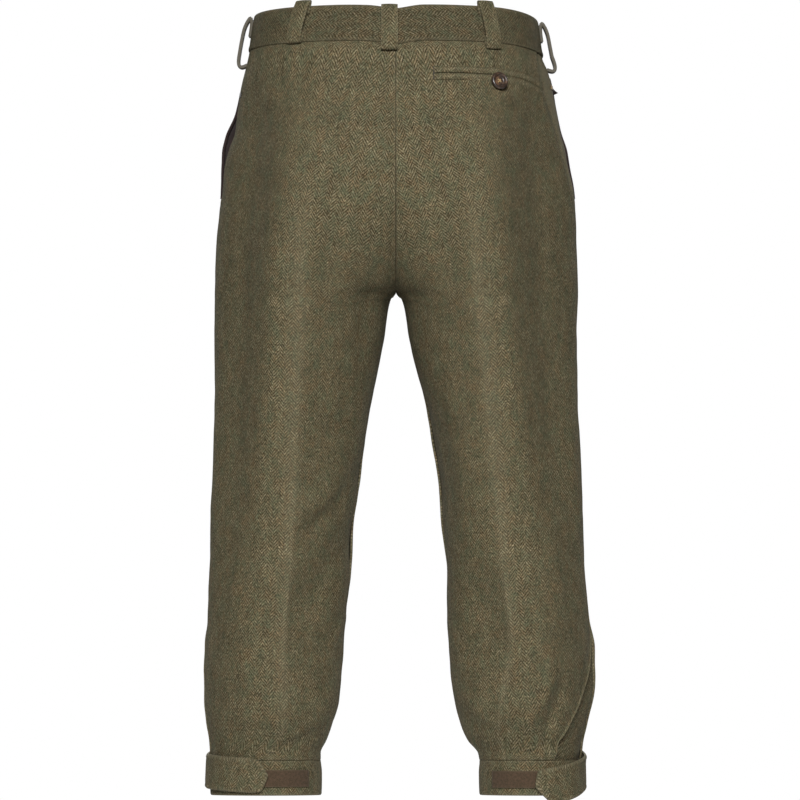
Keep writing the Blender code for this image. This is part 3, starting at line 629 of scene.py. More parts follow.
def tapeMaterial():  # the looped pile of the fastening strips
    made, tree, shader = startMaterial("fastening tape pile")
    cloth = clothOf(tree)
    inputs = {"Vector": cloth, "Scale": 1500.0, "Randomness": 1.0}
    pile = put(tree, "ShaderNodeTexVoronoi", inputs)
    fuzz = noiseOf(tree, cloth, 2600.0, 3.0)
    patch = noiseOf(tree, cloth, 330.0, 4.0, 0.7)
    dark, light = (0.026, 0.017, 0.010, 1), (0.098, 0.070, 0.042, 1)
    colour = mixColour(tree, smoothStep(tree, fuzz, 0.3, 0.7), dark, light)
    warmer = calc(tree, "MULTIPLY", smoothStep(tree, patch, 0.4, 0.62), 0.75)
    colour = mixColour(tree, warmer, colour, (0.100, 0.062, 0.040, 1))
    worn = calc(tree, "MULTIPLY", wearAndPaintedLightOf(tree), 0.4)
    colour = mixColour(tree, worn, colour, (0.12, 0.095, 0.06, 1))
    roughness = calc(tree, "MULTIPLY_ADD", fuzz, 0.2, 0.78)
    height = calc(tree, "MULTIPLY_ADD", pile, -0.8, fuzz)
    constants = {"Sheen Weight": 0.03, "Specular IOR Level": 0.12}
    finishMaterial(tree, shader, colour, roughness, height, 0.9, 0.0006, constants)
    return made


def threadMaterial(name, dark, light):
    made, tree, shader = startMaterial(name)
    ply = noiseOf(tree, placeOf(tree), 1800.0)
    roughness = calc(tree, "MULTIPLY_ADD", ply, 0.3, 0.5)
    colour = mixColour(tree, ply, dark, light)
    finishMaterial(tree, shader, colour, roughness, ply, 0.5, 0.0002, {"Sheen Weight": 0.2})
    return made


def hornMaterial():  # dark horn with paler streaks and a polished rim
    made, tree, shader = startMaterial("streaked horn")
    place = placeOf(tree)
    inputs = {"Vector": place, "Rotation": (0.3, 0.5, 0.4), "Scale": (60, 420, 200)}
    streak = noiseOf(tree, put(tree, "ShaderNodeMapping", inputs), 1.0, 4.0, distortion=0.6)
    cloud = noiseOf(tree, place, 110.0)
    scratch = noiseOf(tree, place, 2400.0)
    dark, pale = (0.026, 0.016, 0.011, 1), (0.105, 0.060, 0.036, 1)
    colour = mixColour(tree, smoothStep(tree, streak, 0.45, 0.72), dark, pale)
    colour = mixColour(tree, smoothStep(tree, cloud, 0.52, 0.72), colour, (0.20, 0.11, 0.06, 1))
    roughness = calc(tree, "MULTIPLY_ADD", scratch, 0.22, 0.26)
    height = calc(tree, "MULTIPLY_ADD", streak, 0.6, scratch)
    constants = {"Coat Weight": 0.15, "Coat Roughness": 0.15}
    finishMaterial(tree, shader, colour, roughness, height, 0.12, 0.0002, constants)
    return made


# The last value darkens each whole copy of the weave: the waistband's copy is darker than the panels',
# and the copy under the slits is painted shade.
tweedDown = tweedMaterial("tweed, grain down the piece", 0, 0.97)
tweedAcross = tweedMaterial("tweed, grain across the piece", 90, 0.74)
tweedShaded = tweedMaterial("tweed, painted shade under the slits", 0, 0.84)
cord = trimMaterial()
tape = tapeMaterial()
horn = hornMaterial()
threadColours = {  # name: (dark, light)
    "olive sewing thread": ((0.014, 0.011, 0.006, 1), (0.048, 0.038, 0.023, 1)),
    # the loops' own olive tweed colour, darkened as painted shade for the side loops seen edge-on
    "tweed, folded edges in painted shade": ((0.034, 0.028, 0.016, 1), (0.082, 0.069, 0.041, 1)),
    "tan button thread": ((0.16, 0.095, 0.035, 1), (0.42, 0.29, 0.13, 1)),
    "gold tacking thread": ((0.24, 0.14, 0.03, 1), (0.55, 0.38, 0.14, 1)),
}
sewingThread, shadedFoldedEdge, buttonThread, tackThread = (
    threadMaterial(name, dark, light) for name, (dark, light) in threadColours.items()
)
print("materials ready")


def meshFrom(bm, name):
    mesh = bpy.data.meshes.new(name)
    bm.to_mesh(mesh)
    bm.free()
    return mesh


def addObject(name, data):
    obj = bpy.data.objects.new(name, data)
    bpy.context.scene.collection.objects.link(obj)
    return obj


def finishPiece(name, mesh, material, replaced):
    mesh.materials.append(material)
    mesh.shade_smooth()
    obj = addObject(name, mesh)
    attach(obj, "root")
    if replaced:
        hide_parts(*replaced)
    return obj


def steadied(values, reach=24):  # a running mean down the rows
    first, last = np.repeat(values[:1], reach, 0), np.repeat(values[-1:], reach, 0)
    padded = np.concatenate([first, values, last])
    total = np.concatenate([np.zeros_like(padded[:1]), np.cumsum(padded, 0)])
    return (total[2 * reach + 1:] - total[: -2 * reach - 1]) / (2 * reach + 1)


def flatCloth(points, line):  # the cloth laid flat in mm, its grain down the line at these shares
    wide = np.linalg.norm(np.diff(points, axis=1), axis=-1)
    run = np.concatenate([np.zeros((len(points), 1)), np.cumsum(wide, 1)], 1)
    last = points.shape[1] - 1
    index = line * last
    at = np.stack([np.interp(i, np.arange(last + 1), row) for i, row in zip(index, run)])
    low = np.clip(index.astype(int), 0, last - 1)
    rows = np.arange(len(points))
    share = (index - low)[:, None]
    spine = steadied(points[rows, low] * (1 - share) + points[rows, low + 1] * share)
    down = unit(np.gradient(spine, axis=0))
    aside = unit(steadied(points[rows, low + 1] - points[rows, low]))
    lean = np.clip((down * aside).sum(-1), -0.5, 0.5)[:, None]
    steps = np.linalg.norm(np.diff(spine, axis=0), axis=1)
    length = np.concatenate([[0], np.cumsum(steps)])[:, None]
    off = run - at[:, None]
    return off * np.sqrt(1 - lean**2), -(length + off * lean)


# A piece of cloth: place(across, down) gives its outer face in mm, over a grid whose lines are at
# the given shares. Its UV map is the cloth itself in metres, flat, from the line where it lies true.
# cut is its flat width, length and, where that isn't a rectangle, area, in metres; it is not used.
def clothPiece(name, columns, rows, place, thickness, material, replaced, slotName="tweed", *,
               mirrored=False, grain=None, wearAndPaintedLight=None, rim=0.0, offset=-1.0, cut, held="laid", on=()):
    bm = bmesh.new()
    bmesh.ops.create_grid(bm, x_segments=len(columns) - 1, y_segments=len(rows) - 1, size=0.5)
    if mirrored:
        bmesh.ops.reverse_faces(bm, faces=bm.faces)
    mesh = meshFrom(bm, name)
    flat = np.empty(len(mesh.vertices) * 3)
    mesh.vertices.foreach_get("co", flat)
    flat = flat.reshape(-1, 3)
    column = np.rint((flat[:, 0] + 0.5) * (len(columns) - 1)).astype(int)
    row = np.rint((0.5 - flat[:, 1]) * (len(rows) - 1)).astype(int)
    across, down = np.meshgrid(columns, rows)
    points = place(across, down)
    mesh.vertices.foreach_set("co", (points[row, column] * mm).ravel())
    wide = np.linalg.norm(np.diff(points, axis=1), axis=-1)
    tall = np.linalg.norm(np.diff(points, axis=0), axis=-1)
    area = float((wide[:-1] * tall[:, :-1]).sum()) * mm**2
    if grain is None:
        u = np.concatenate([np.zeros((len(rows), 1)), np.cumsum(wide, 1)], 1)
        v = np.concatenate([np.zeros((1, len(columns))), np.cumsum(tall, 0)], 0)
        u = u - u[:, [len(columns) // 2]]
        v = v[[len(rows) // 2], :] - v
    else:
        u, v = flatCloth(points, grain(down))
    layer = mesh.uv_layers.new(name="cloth")
    corners = np.empty(len(mesh.loops), int)
    mesh.loops.foreach_get("vertex_index", corners)
    uv = np.stack([u[row, column], v[row, column]], -1)[corners] * mm
    layer.data.foreach_set("uv", uv.ravel())
    worn = np.zeros(len(mesh.vertices)) if wearAndPaintedLight is None else wearAndPaintedLight(across, down)[row, column]
    mesh.attributes.new("wearAndPaintedLight", "FLOAT", "POINT").data.foreach_set("value", worn)
    mesh.update()
    obj = finishPiece(name, mesh, material, replaced)
    wall = obj.modifiers.new("wall", "SOLIDIFY")
    wall.thickness = thickness * mm
    wall.offset = offset
    wall.use_even_offset = False
    if rim:
        rounded = obj.modifiers.new("edge", "BEVEL")
        rounded.width = rim * mm
        rounded.segments = 2
        rounded.limit_method = "ANGLE"
        rounded.angle_limit = math.radians(50)
    print(f"{name}: {area:.4f} m2 of cloth")


def rolledEdge(distance, width=2.2, depth=0.7):  # how far cloth turns in towards a seam
    return -depth * np.clip(1 - distance / width, 0, 1) ** 2


panel = {
    "thickness": 2.0,
    "columns": 100,
    "rows": 290,
    "top": 18.2,
    "bottom": 759.2,
    "width": 235.0,  # about, to turn shares into mm
    "length": 738.0,
    "flyEnd": 190.0,
    "flyLap": 0.03,
    "flyEase": 0.09,
    "troughDepth": 2.6,  # under the waistband, at the back
    "beadHeight": 1.6,  # along the slit's folded edge
    "grooveDepth": 1.5,  # of the hip seam
    "backCut": (0.355, 0.855, 0.209),
    "frontCut": (0.34, 0.83, 0.203),
}


def panelShares():
    columns = denserAt(panel["columns"], (0, 0.5, 0.95, 1), 0.035, 3.0)
    return columns, denserAt(panel["rows"], (0, 1), 0.008, 3.0)


def panelDrop(down):
    return between(panel["top"], panel["bottom"], down)


def panelRoll(across, down):  # its edges turn in towards the seams
    sides = rolledEdge(fromEnds(across) * panel["width"])
    return sides + rolledEdge(fromEnds(down) * panel["length"], 1.5, 0.4)


def panelWear(across, down):  # paler along the creases and the seams
    strength = eased((panelDrop(down) - 140) / 80)
    creased = hump(np.abs(across - 0.5) * panel["width"], 4) * 0.35 * strength
    return creased + hump(fromEnds(across) * panel["width"], 3) * 0.4


grainLine = {  # how far from the middle plane one yarn of the back lies, near the crease
    "columns": "drop left right",
    "rows": [
        (19, 66, 46), (60, 71, 52), (165, 86, 68), (213, 92, 76), (318, 97, 86), (402, 100, 94),
        (486, 104, 102), (570, 110, 111), (612, 113, 116), (654, 115, 120), (757, 115, 128),
    ],
}
grainLineAt = steadyTable(grainLine)
hipSeam = {  # how far from the middle plane the hip piece's seam lies on the back, right side
    "columns": "drop seam",
    "rows": [(19, 147), (52, 151.5), (84, 161), (108, 168), (150, 180), (185, 188.5)],
}
hipSeamAt = steadyTable(hipSeam)


def backPanel(label, side):
    def hipSeamAround(drop):
        return backAround(side, drop, hipSeamAt("seam", drop))

    def place(across, down):
        drop = panelDrop(down)
        slitAround = slitAt(label, drop)
        around = between(0, slitAround, across)
        trough = eased((drop - 19.2) / 9) * eased((56 - drop) / 26) * eased((0.29 - around) / 0.14)
        fromSlit = (slitAround - around) * 2 * panel["width"]
        bead = hump(fromSlit - 1.8, 1.7) * eased((drop - 612) / 25) * eased((758 - drop) / 8)
        lift = panelRoll(across, down) - panel["troughDepth"] * trough + panel["beadHeight"] * bead
        if label == "right":  # the hip piece lies lower, behind a pressed seam
            beyond = (around - hipSeamAround(drop)) * 2 * panel["width"]
            groove = hump(beyond, 1.7) - 0.4 * hump(beyond + 4, 2.4)
            sunk = 0.6 * eased(beyond / 2 + 0.5) + panel["grooveDepth"] * groove
            lift = lift - sunk * eased((186 - drop) / 20)
        return keepToSide(clothPoint(side, drop, around, lift), side, barePoint(side, drop, around))

    def wearAndPaintedLight(across, down):
        drop = panelDrop(down)
        # paler along the slit's folded edge: partly wear of the fold, partly a painted highlight on
        # its ridge
        folded = hump((1 - across) * panel["width"] - 1.5, 2) * eased((drop - 612) / 25)
        worn = panelWear(across, down) + folded
        if label == "right":
            # painted light: past the hip seam the right hip piece is made paler, as if lit from the
            # side
            beyond = (across - hipSeamAround(drop) / slitAt(label, drop)) * panel["width"]
            worn = worn + 0.8 * eased(beyond / 2) * eased((190 - drop) / 30)
        return worn

    def grain(down):
        drop = panelDrop(down[:, 0])
        return backAround(side, drop, grainLineAt(label, drop)) / slitAt(label, drop)

    clothPiece(f"backPanel.{label}", *panelShares(), place, panel["thickness"], tweedDown,
               [f"back_{label}"], mirrored=side < 0, wearAndPaintedLight=wearAndPaintedLight, grain=grain, cut=panel["backCut"],
               held="hung", on=[f"waistband_{label}"])


def flyLap(drop):
    return panel["flyLap"] * eased((panel["flyEnd"] - drop) / 18)


def flyLift(around, drop):
    height = 2.9 * eased((panel["flyEnd"] + 65 - drop) / 30)
    return height * eased((around - 1 + panel["flyEase"]) / (panel["flyEase"] - 0.02))


def frontPanel(label, side):
    laps = side < 0

    def place(across, down):
        drop = panelDrop(down)
        start = mouthAt(label, drop)
        edging = 0.006 * eased((start - 0.5) / 0.002)
        end = 1 + (flyLap(drop) if laps else 0)
        around = between(start + edging, end, across)
        lift = panelRoll(across, down)
        if laps:
            lift = lift + flyLift(around, drop)
        points = clothPoint(side, drop, around, lift)
        crosses = laps & (drop < panel["flyEnd"])
        bare = barePoint(side, drop, np.clip(around, 0, 1))
        return np.where(crosses[..., None], points, keepToSide(points, side, bare))

    clothPiece(f"frontPanel.{label}", *panelShares(), place, panel["thickness"], tweedDown,
               [f"front_{label}"], mirrored=side < 0, wearAndPaintedLight=panelWear, cut=panel["frontCut"],
               held="hung", on=[f"waistband_{label}"])


for label, side in sides.items():
    backPanel(label, side)
    frontPanel(label, side)
print("panels ready")

waistband = {
    "half": 18.5,
    "thickness": 3.2,
    "proud": 0.8,
    "lap": 0.095,
    "lapLift": 3.5,
    "columns": 220,
    "rows": 22,
    "left": (0.465, 0.038),
    "right": (0.435, 0.038),
}


def bandPiece(label, side):
    laps = side < 0
    height = 2 * waistband["half"]

    def place(across, down):
        drop = waistband["half"] * (2 * down - 1)
        around = between(0.0004, 1 + (waistband["lap"] if laps else -0.0004), across)
        crown = 0.5 * (1 - (2 * down - 1) ** 2)
        ridge = 0.6 * hump((1 - down) * height - 2.6, 2.4)
        lift = waistband["proud"] + crown + ridge + rolledEdge(fromEnds(down) * height, 1.6, 0.6)
        if laps:
            lift = lift + waistband["lapLift"] * eased((around - 0.91) / 0.07)
        points = clothPoint(side, drop, around, lift)
        crosses = laps & (across > 0.5)
        return np.where(crosses[..., None], points, keepToSide(points, side))

    def wearAndPaintedLight(across, down):
        return hump(fromEnds(down) * height, 2) * 0.5

    columns = denserAt(waistband["columns"], (0, 1), 0.01, 3)
    clothPiece(f"waistband.{label}", columns, denserAt(waistband["rows"], (0, 1), 0.1, 2), place,
               waistband["thickness"], tweedAcross, [f"waistband_{label}"], mirrored=side < 0,
               wearAndPaintedLight=wearAndPaintedLight, cut=waistband[label], held="hung")


for label, side in sides.items():
    bandPiece(label, side)
print("waistband ready")


def smoothPath(points, count):  # an even curve through the points
    points = np.array(points, float)
    padded = np.vstack([2 * points[0] - points[1], points, 2 * points[-1] - points[-2]])
    fine = []
    t = np.linspace(0, 1, 24, endpoint=False)[:, None]
    for a, b, c, d in zip(padded, padded[1:], padded[2:], padded[3:]):
        slope, bend, twist = c - a, 2 * a - 5 * b + 4 * c - d, 3 * b - a - 3 * c + d
        fine.append(0.5 * (2 * b + slope * t + bend * t**2 + twist * t**3))
    fine = np.vstack(fine + [points[-1:]])
    run = np.concatenate([[0], np.cumsum(np.linalg.norm(np.diff(fine, axis=0), axis=1))])
    even = np.linspace(0, run[-1], count)
    return np.stack([np.interp(even, run, fine[:, i]) for i in range(fine.shape[1])], -1)


# Belt loops. Each path is (drop, how far off the band): it starts at the end turned under at the top
beltLoop = {"width": 16.5, "crown": 0.45, "columns": 14, "rows": 90, "cut": (0.0165, 0.078)}
flatLoop = [(-7, 1.9), (-17, 1.9), (-20.5, 3.2), (-18, 5.0), (-8, 6.6), (4, 7.0), (14, 6.2),
            (21, 3.9), (24.2, 2.2), (22, 1.3), (13, 1.5)]
sideLoop = [(3, 1.4), (-9, 1.5), (-16.5, 3.2), (-12, 6.2), (-4, 8.4), (7, 9.2), (18, 9.3),
            (28, 8.8), (33.6, 7.2), (35.5, 4.6), (34.6, 1.8), (32, -1.6)]
loopColumns = "name side aroundTop aroundBottom path top bottom thickness"
loops = [
    ("back_centre", -1, 0.024, 0.024, flatLoop, -20, 24.7, 1.9),
    ("back_left", -1, 0.302, 0.3145, flatLoop, -22.5, 19, 1.9),
    ("back_right", 1, 0.299, 0.308, flatLoop, -22, 25, 1.9),
    ("side_left", -1, 0.5, 0.5, sideLoop, -16.5, 35, 3.1),
    ("side_right", 1, 0.5, 0.5, sideLoop, -17, 34.5, 3.1),
    ("front_left", -1, 0.76, 0.76, flatLoop, -20, 24.7, 1.9),
    ("front_right", 1, 0.76, 0.76, flatLoop, -20, 24.7, 1.9),
]


def loopPiece(loop):
    side, top, bottom, last = loop["side"], loop["top"], loop["bottom"], beltLoop["rows"]
    onEdge = loop["path"] is sideLoop  # seen along its folded edge
    path = smoothPath(loop["path"], last + 1)
    path[:, 0] = np.interp(path[:, 0], (path[:, 0].min(), path[:, 0].max()), (top, bottom))

    def place(across, down):
        index = np.rint(down * last).astype(int)
        drop = path[index, 0]
        lift = path[index, 1] + 0.8
        share = (drop - top) / (bottom - top)
        around = between(loop["aroundTop"], loop["aroundBottom"], share)
        normal = outward(side, drop, around)
        along = unit(np.stack([-normal[..., 1], normal[..., 0], np.zeros_like(drop)], -1))
        shift = (across - 0.5) * beltLoop["width"]
        off = unit(path[np.minimum(index + 1, last)] - path[np.maximum(index - 1, 0)])
        crown = beltLoop["crown"] * (1 - (2 * across - 1) ** 2)
        base = clothPoint(side, drop + off[..., 1] * -crown, around, lift + off[..., 0] * crown)
        return base + along * shift[..., None]

    def wearAndPaintedLight(across, down):
        return hump(fromEnds(across) * beltLoop["width"], 1.2) * (0.0 if onEdge else 0.5)

    # side loops take the darker plain tweed: painted shade on loops seen edge-on
    clothPiece(f"beltLoop.{loop['name']}", denserAt(beltLoop["columns"], (0, 1), 0.1, 1),
               np.linspace(0, 1, last + 1), place, loop["thickness"],
               shadedFoldedEdge if onEdge else tweedDown, [f"belt_loop_{loop['name']}"], wearAndPaintedLight=wearAndPaintedLight,
               rim=0.5, offset=0.0, cut=beltLoop["cut"], held="folded",
               on=[f"waistband_{labelOf(side)}"])


for row in loops:
    loopPiece(dict(zip(loopColumns.split(), row)))
print("belt loops ready")

pocket = {  # on the right back: distances from the middle plane, and the drop of its mouth
    "start": 38.5,
    "end": 150.5,
    "tacked": 66,
    "sagFrom": 122,
    "sag": 6.0,
    "mouth": 52.0,
    "height": 7.0,
    "crown": 1.6,
    "thickness": 1.4,
    "columns": 110,
    "rows": 14,
    "cut": (0.12, 0.01),
}


def weltPiece(name, top, node, lower):
    def place(across, down):
        distance = between(pocket["start"], pocket["end"], across)
        sag = pocket["sag"] * np.clip((distance - pocket["sagFrom"]) / 28, 0, 1) ** 1.6
        drop = between(top, top + pocket["height"] - 0.2, down) + sag
        past = eased((distance - pocket["tacked"]) / 12)
        roll = np.sin(np.clip(down, 0, 1) * math.pi) ** 0.6
        if lower:  # past the tacked end its lower edge lies flat
            roll = between(roll, 1.3 * eased(down / 0.25) * (1 - down) ** 1.4, past)
        ends = 0.4 + 0.6 * eased(fromEnds(across) * 110 / 2.5)
        full = pocket["crown"] * roll * ends * between(1, 0.35, eased((distance - 95) / 30))
        lift = between(0.5 if lower else 0.9, 0.1 if lower else 0.4, past)
        return clothPoint(1, drop, backAround(1, drop, distance), lift + full)

    def wearAndPaintedLight(across, down):
        return 0.45 * np.sin(down * math.pi) ** 4

    clothPiece(name, denserAt(pocket["columns"], (0, 1), 0.02, 2),
               denserAt(pocket["rows"], (0, 1), 0.1, 1), place, pocket["thickness"], tweedDown,
               [node], wearAndPaintedLight=wearAndPaintedLight, cut=pocket["cut"], on=["back_right"])


weltPiece("backPocket.upperWelt", pocket["mouth"] - pocket["height"], "pocket_welt_upper", False)
weltPiece("backPocket.lowerWelt", pocket["mouth"], "pocket_welt_lower", True)
print("back pocket ready")


# A strip from under the back panel to under the front one, as in the CAD
def bridge(side, drop, backEnd, frontStart, reachBack, reachFront, share):
    first, last, under = 0.35, 0.65, -3.2

    def hidden(around):
        return clothPoint(side, drop, around, under)

    start, end = hidden(backEnd), hidden(frontStart)
    span = np.linalg.norm(end - start, axis=-1, keepdims=True) * 0.4
    leave = unit(start - hidden(backEnd - 0.004)) * span
    arrive = unit(hidden(frontStart + 0.004) - end) * span
    t = np.clip((share - first) / (last - first), 0, 1)[..., None]
    s = 1 - t
    bend = 3 * (start + leave) * s * s * t + 3 * (end - arrive) * s * t * t
    points = start * s**3 + bend + end * t**3
    before = hidden(backEnd - reachBack * (1 - np.clip(share / first, 0, 1)))
    past = hidden(frontStart + reachFront * np.clip((share - last) / (1 - last), 0, 1))
    points = np.where((share < first)[..., None], before, points)
    return np.where((share > last)[..., None], past, points)


hipPocket = {
    "top": 40.0,
    "bottom": 170.0,
    "edging": 0.006,
    "reach": 0.045,
    "facingThick": 1.2,
    "edgingThick": 0.5,
    "cornerThick": 1.1,
    "facingCut": (0.1, 0.14, 0.0115),
    "edgingCut": (0.01, 0.14),
    "cornerCut": (0.012, 0.015, 0.00009),
}
stripRows = np.linspace(0, 1, 91)


def facingPiece(label, side):
    def place(across, down):
        drop = between(hipPocket["top"], hipPocket["bottom"], down)
        front = mouthAt(label, drop) + hipPocket["edging"]
        return bridge(side, drop, 0.4995, front, hipPocket["reach"], hipPocket["reach"], across)

    clothPiece(f"pocketFacing.{label}", np.linspace(0, 1, 61), stripRows, place,
               hipPocket["facingThick"], cord, [f"pocket_facing_{label}"], "pocket_trim",
               mirrored=side < 0, cut=hipPocket["facingCut"], on=[f"back_{label}", f"front_{label}"])


def edgingPiece(label, side):
    def place(across, down):
        drop = between(hipPocket["top"], hipPocket["bottom"], down)
        turn = across * math.pi  # over the edge of the front panel, from inside to outside
        around = mouthAt(label, drop) + 0.0056 - 0.0050 * np.sin(turn)
        return clothPoint(side, drop, around, -1.0 - 1.7 * np.cos(turn))

    clothPiece(f"pocketEdging.{label}", np.linspace(0, 1, 13), stripRows, place,
               hipPocket["edgingThick"], cord, [f"pocket_edging_{label}"], "pocket_trim",
               mirrored=side < 0, cut=hipPocket["edgingCut"], held="folded", on=[f"front_{label}"])


def cornerPiece():  # of the right facing, turned out at the top of the pocket
    def place(across, down):
        out = across * (0.1 + 0.9 * down**1.4)
        return clothPoint(1, 48 + 9 * down, 0.504 + 0.02 * (1 - out), 0.8 + 3.2 * out**1.7)

    clothPiece("pocketCorner.right", np.linspace(0, 1, 13), np.linspace(0, 1, 17), place,
               hipPocket["cornerThick"], cord, ["pocket_corner_right"], "pocket_trim", rim=0.3,
               cut=hipPocket["cornerCut"], held="folded", on=["front_right"])


for label, side in sides.items():
    facingPiece(label, side)
    edgingPiece(label, side)
cornerPiece()

underlap = {
    "top": 606.0,
    "bottom": 770.0,
    "thickness": 1.5,
    "reachBack": 0.05,
    "reachFront": 0.03,
    "left": (0.045, 0.165, 0.0071),
    "right": (0.1, 0.17, 0.0125),
}


def underlapPiece(label, side):
    def place(across, down):
        drop = between(underlap["top"], underlap["bottom"], down)
        end = np.minimum(slitAt(label, drop) + 0.001, 0.4995)
        reaches = underlap["reachBack"], underlap["reachFront"]
        return bridge(side, drop, end, 0.502, *reaches, across)

    # its darker copy of the tweed is painted shade under the back panel's edge
    clothPiece(f"slitUnderlap.{label}", np.linspace(0, 1, 61), stripRows, place,
               underlap["thickness"], tweedShaded, [f"slit_underlap_{label}"], mirrored=side < 0,
               cut=underlap[label], on=[f"front_{label}"])


for label, side in sides.items():
    underlapPiece(label, side)
print("hip pockets and slits ready")

cuff = {
    "top": 759.5,
    "hem": 795.8,
    "height": 37,  # for its rolled edges
    "thickness": 3.2,
    "proud": 0.8,
    "uneven": 0.15,
    "columns": 260,
    "rows": 26,
    "cut": (0.387, 0.038),
}


def cuffPiece(label, side):
    def place(across, down):
        turn = between(0.0012, 0.9988, across)
        around = np.where(turn < 0.5, turn + 0.5, turn - 0.5)
        crown = 0.5 * (1 - (2 * down - 1) ** 2)
        wavy = 0.5 * np.sin(across * 31 + side) + 0.35 * np.sin(across * 57 + 2)
        drop = between(cuff["top"], cuff["hem"], down) + wavy * (1 - down) * cuff["uneven"]
        edge = fromEnds(down) * cuff["height"]
        rolled = rolledEdge(edge, between(1.2, 2.2, down), between(0.35, 1.0, down))
        return clothPoint(side, drop, around, cuff["proud"] * eased(down * 3) + crown + rolled)

    def wearAndPaintedLight(across, down):
        hem = hump((1 - down) * cuff["height"], 2.5) * 0.7
        return hem + hump(down * cuff["height"], 2) * 0.4

    clothPiece(f"cuff.{label}", denserAt(cuff["columns"], (0, 1), 0.01, 2),
               denserAt(cuff["rows"], (0, 1), 0.1, 2), place, cuff["thickness"], tweedDown,
               [f"cuff_{label}"], mirrored=side < 0, wearAndPaintedLight=wearAndPaintedLight, cut=cuff["cut"], held="hung",
               on=[f"back_{label}", f"front_{label}"])


tapeStrip = {
    "half": 8.9,
    "width": 18,
    "lift": 1.5,
    "thickness": 1.2,
    "columns": 90,
    "rows": 26,
    "left": (92.4, 158.0, 777.7),  # its ends' distances, and its drop
    "right": (101.6, 160.0, 778.7),
    "cut": (0.078, 0.018),
}


def tapePiece(label, side):
    inner, outer, middle = tapeStrip[label]

    def fromEdge(across, down):
        return np.minimum(fromEnds(down) * tapeStrip["width"], fromEnds(across) * (outer - inner))

    def place(across, down):
        drop = middle + tapeStrip["half"] * (2 * down - 1)
        around = backAround(side, drop, between(inner, outer, across))
        pile = 0.5 * eased(fromEdge(across, down) / 1.6)
        return clothPoint(side, drop, around, tapeStrip["lift"] + tapeStrip["thickness"] + pile)

    def wearAndPaintedLight(across, down):
        return hump(fromEdge(across, down), 1.0)

    clothPiece(f"fasteningTape.{label}", denserAt(tapeStrip["columns"], (0, 1), 0.03, 2),
               denserAt(tapeStrip["rows"], (0, 1), 0.12, 2), place, tapeStrip["thickness"], tape,
               [f"hook_strip_{label}"], "hook_strip", mirrored=side < 0, wearAndPaintedLight=wearAndPaintedLight,
               cut=tapeStrip["cut"], on=[f"cuff_{label}"])


tab = {
    "half": 16.6,
    "width": 33,
    "length": 140,
    "start": 0.56,
    "lift": 3.7,
    "thickness": 2.0,
    "columns": 120,
    "rows": 32,
    # its drops at the start and the tip, the distances of its corners and tip, its skew, its slack
    "left": (769.5, 774.0, 141.8, 133.4, -0.11, 0.8),
    "right": (768.5, 785.5, 153.6, 145.0, 0.36, 0.5),
    "cut": (0.135, 0.038, 0.0046),
}


def tabPiece(label, side):
    dropStart, dropTip, corner, tip, skew, slack = tab[label]

    def fromEdge(across, down):
        return np.minimum(fromEnds(down) * tab["width"], (1 - across) * tab["length"])

    def place(across, down):
        fall = dropTip - dropStart
        slant = dropStart + fall * (0.6 * across + 0.4 * eased((across - 0.15) / 0.85))
        share = np.abs(2 * down - 1)
        narrowed = 1 - 0.09 * eased((across - 0.93) / 0.07) * share**6  # rounded corners
        offset = tab["half"] * (2 * down - 1) * narrowed
        point = 1 - np.sqrt(share**2 + 0.012) + 0.11  # the tip is a little blunt
        end = between(corner, tip, point) + offset * skew
        around = between(tab["start"], backAround(side, slant, end), across)
        stand = 1.9 * eased((across - 0.38) / 0.4) + 1.0 * eased((across - 0.8) / 0.2)
        stand = stand + slack * (2 * down - 1) * eased(across / 0.3) * eased((0.7 - across) / 0.3)
        edge = fromEdge(across, down)
        crown = 0.4 * eased(edge / 8) + 0.45 * hump(edge - 1.5, 1.1) + rolledEdge(edge, 1.4, 0.9)
        return clothPoint(side, slant + offset, around, tab["lift"] + stand + crown)

    def wearAndPaintedLight(across, down):
        return hump(fromEdge(across, down), 1.6) * 0.8

    clothPiece(f"cuffTab.{label}", denserAt(tab["columns"], (0, 1), 0.03, 2),
               denserAt(tab["rows"], (0, 1), 0.08, 2), place, tab["thickness"], tweedDown,
               [f"cuff_tab_{label}"], mirrored=side < 0, wearAndPaintedLight=wearAndPaintedLight, cut=tab["cut"],
               on=[f"cuff_{label}"])


for label, side in sides.items():
    cuffPiece(label, side)
    tapePiece(label, side)
    tabPiece(label, side)
print("cuffs ready")


def addTube(bm, points, radius, sides=6):  # a closed round cord through the points
    rings = []
    points = [Vector(p) for p in smoothPath([tuple(p) for p in points], len(points) * 3)]
    for i, point in enumerate(points):
        ahead = points[min(i + 1, len(points) - 1)] - points[max(i - 1, 0)]
        shape = Matrix.Translation(point) @ ahead.to_track_quat("Z", "Y").to_matrix().to_4x4()
        end = i in (0, len(points) - 1)
        ring = bmesh.ops.create_circle(bm, segments=sides, radius=radius * (0.6 if end else 1),
                                       cap_ends=end, matrix=shape)["verts"]
        rings.append(ring)
    for a, b in zip(rings, rings[1:]):
        edges = [e for ring in (a, b) for v in ring for e in v.link_edges
                 if e.verts[0] in ring and e.verts[1] in ring]
        bmesh.ops.bridge_loops(bm, edges=list(dict.fromkeys(edges)))  # each edge once, in order


def threadPiece(name, bm, material):
    bmesh.ops.recalc_face_normals(bm, faces=bm.faces)
    finishPiece(name, meshFrom(bm, name), material, ())


button = {
    "radius": 9.1,
    "thick": 4.0,
    "dish": 5.4,
    "floor": 1.5,
    "holeRadius": 0.95,
    "holesOut": 2.2,
    "steps": 72,
    "threadRadius": 0.30,
}
holeCorners = [math.pi / 4 + i * math.pi / 2 for i in range(4)]


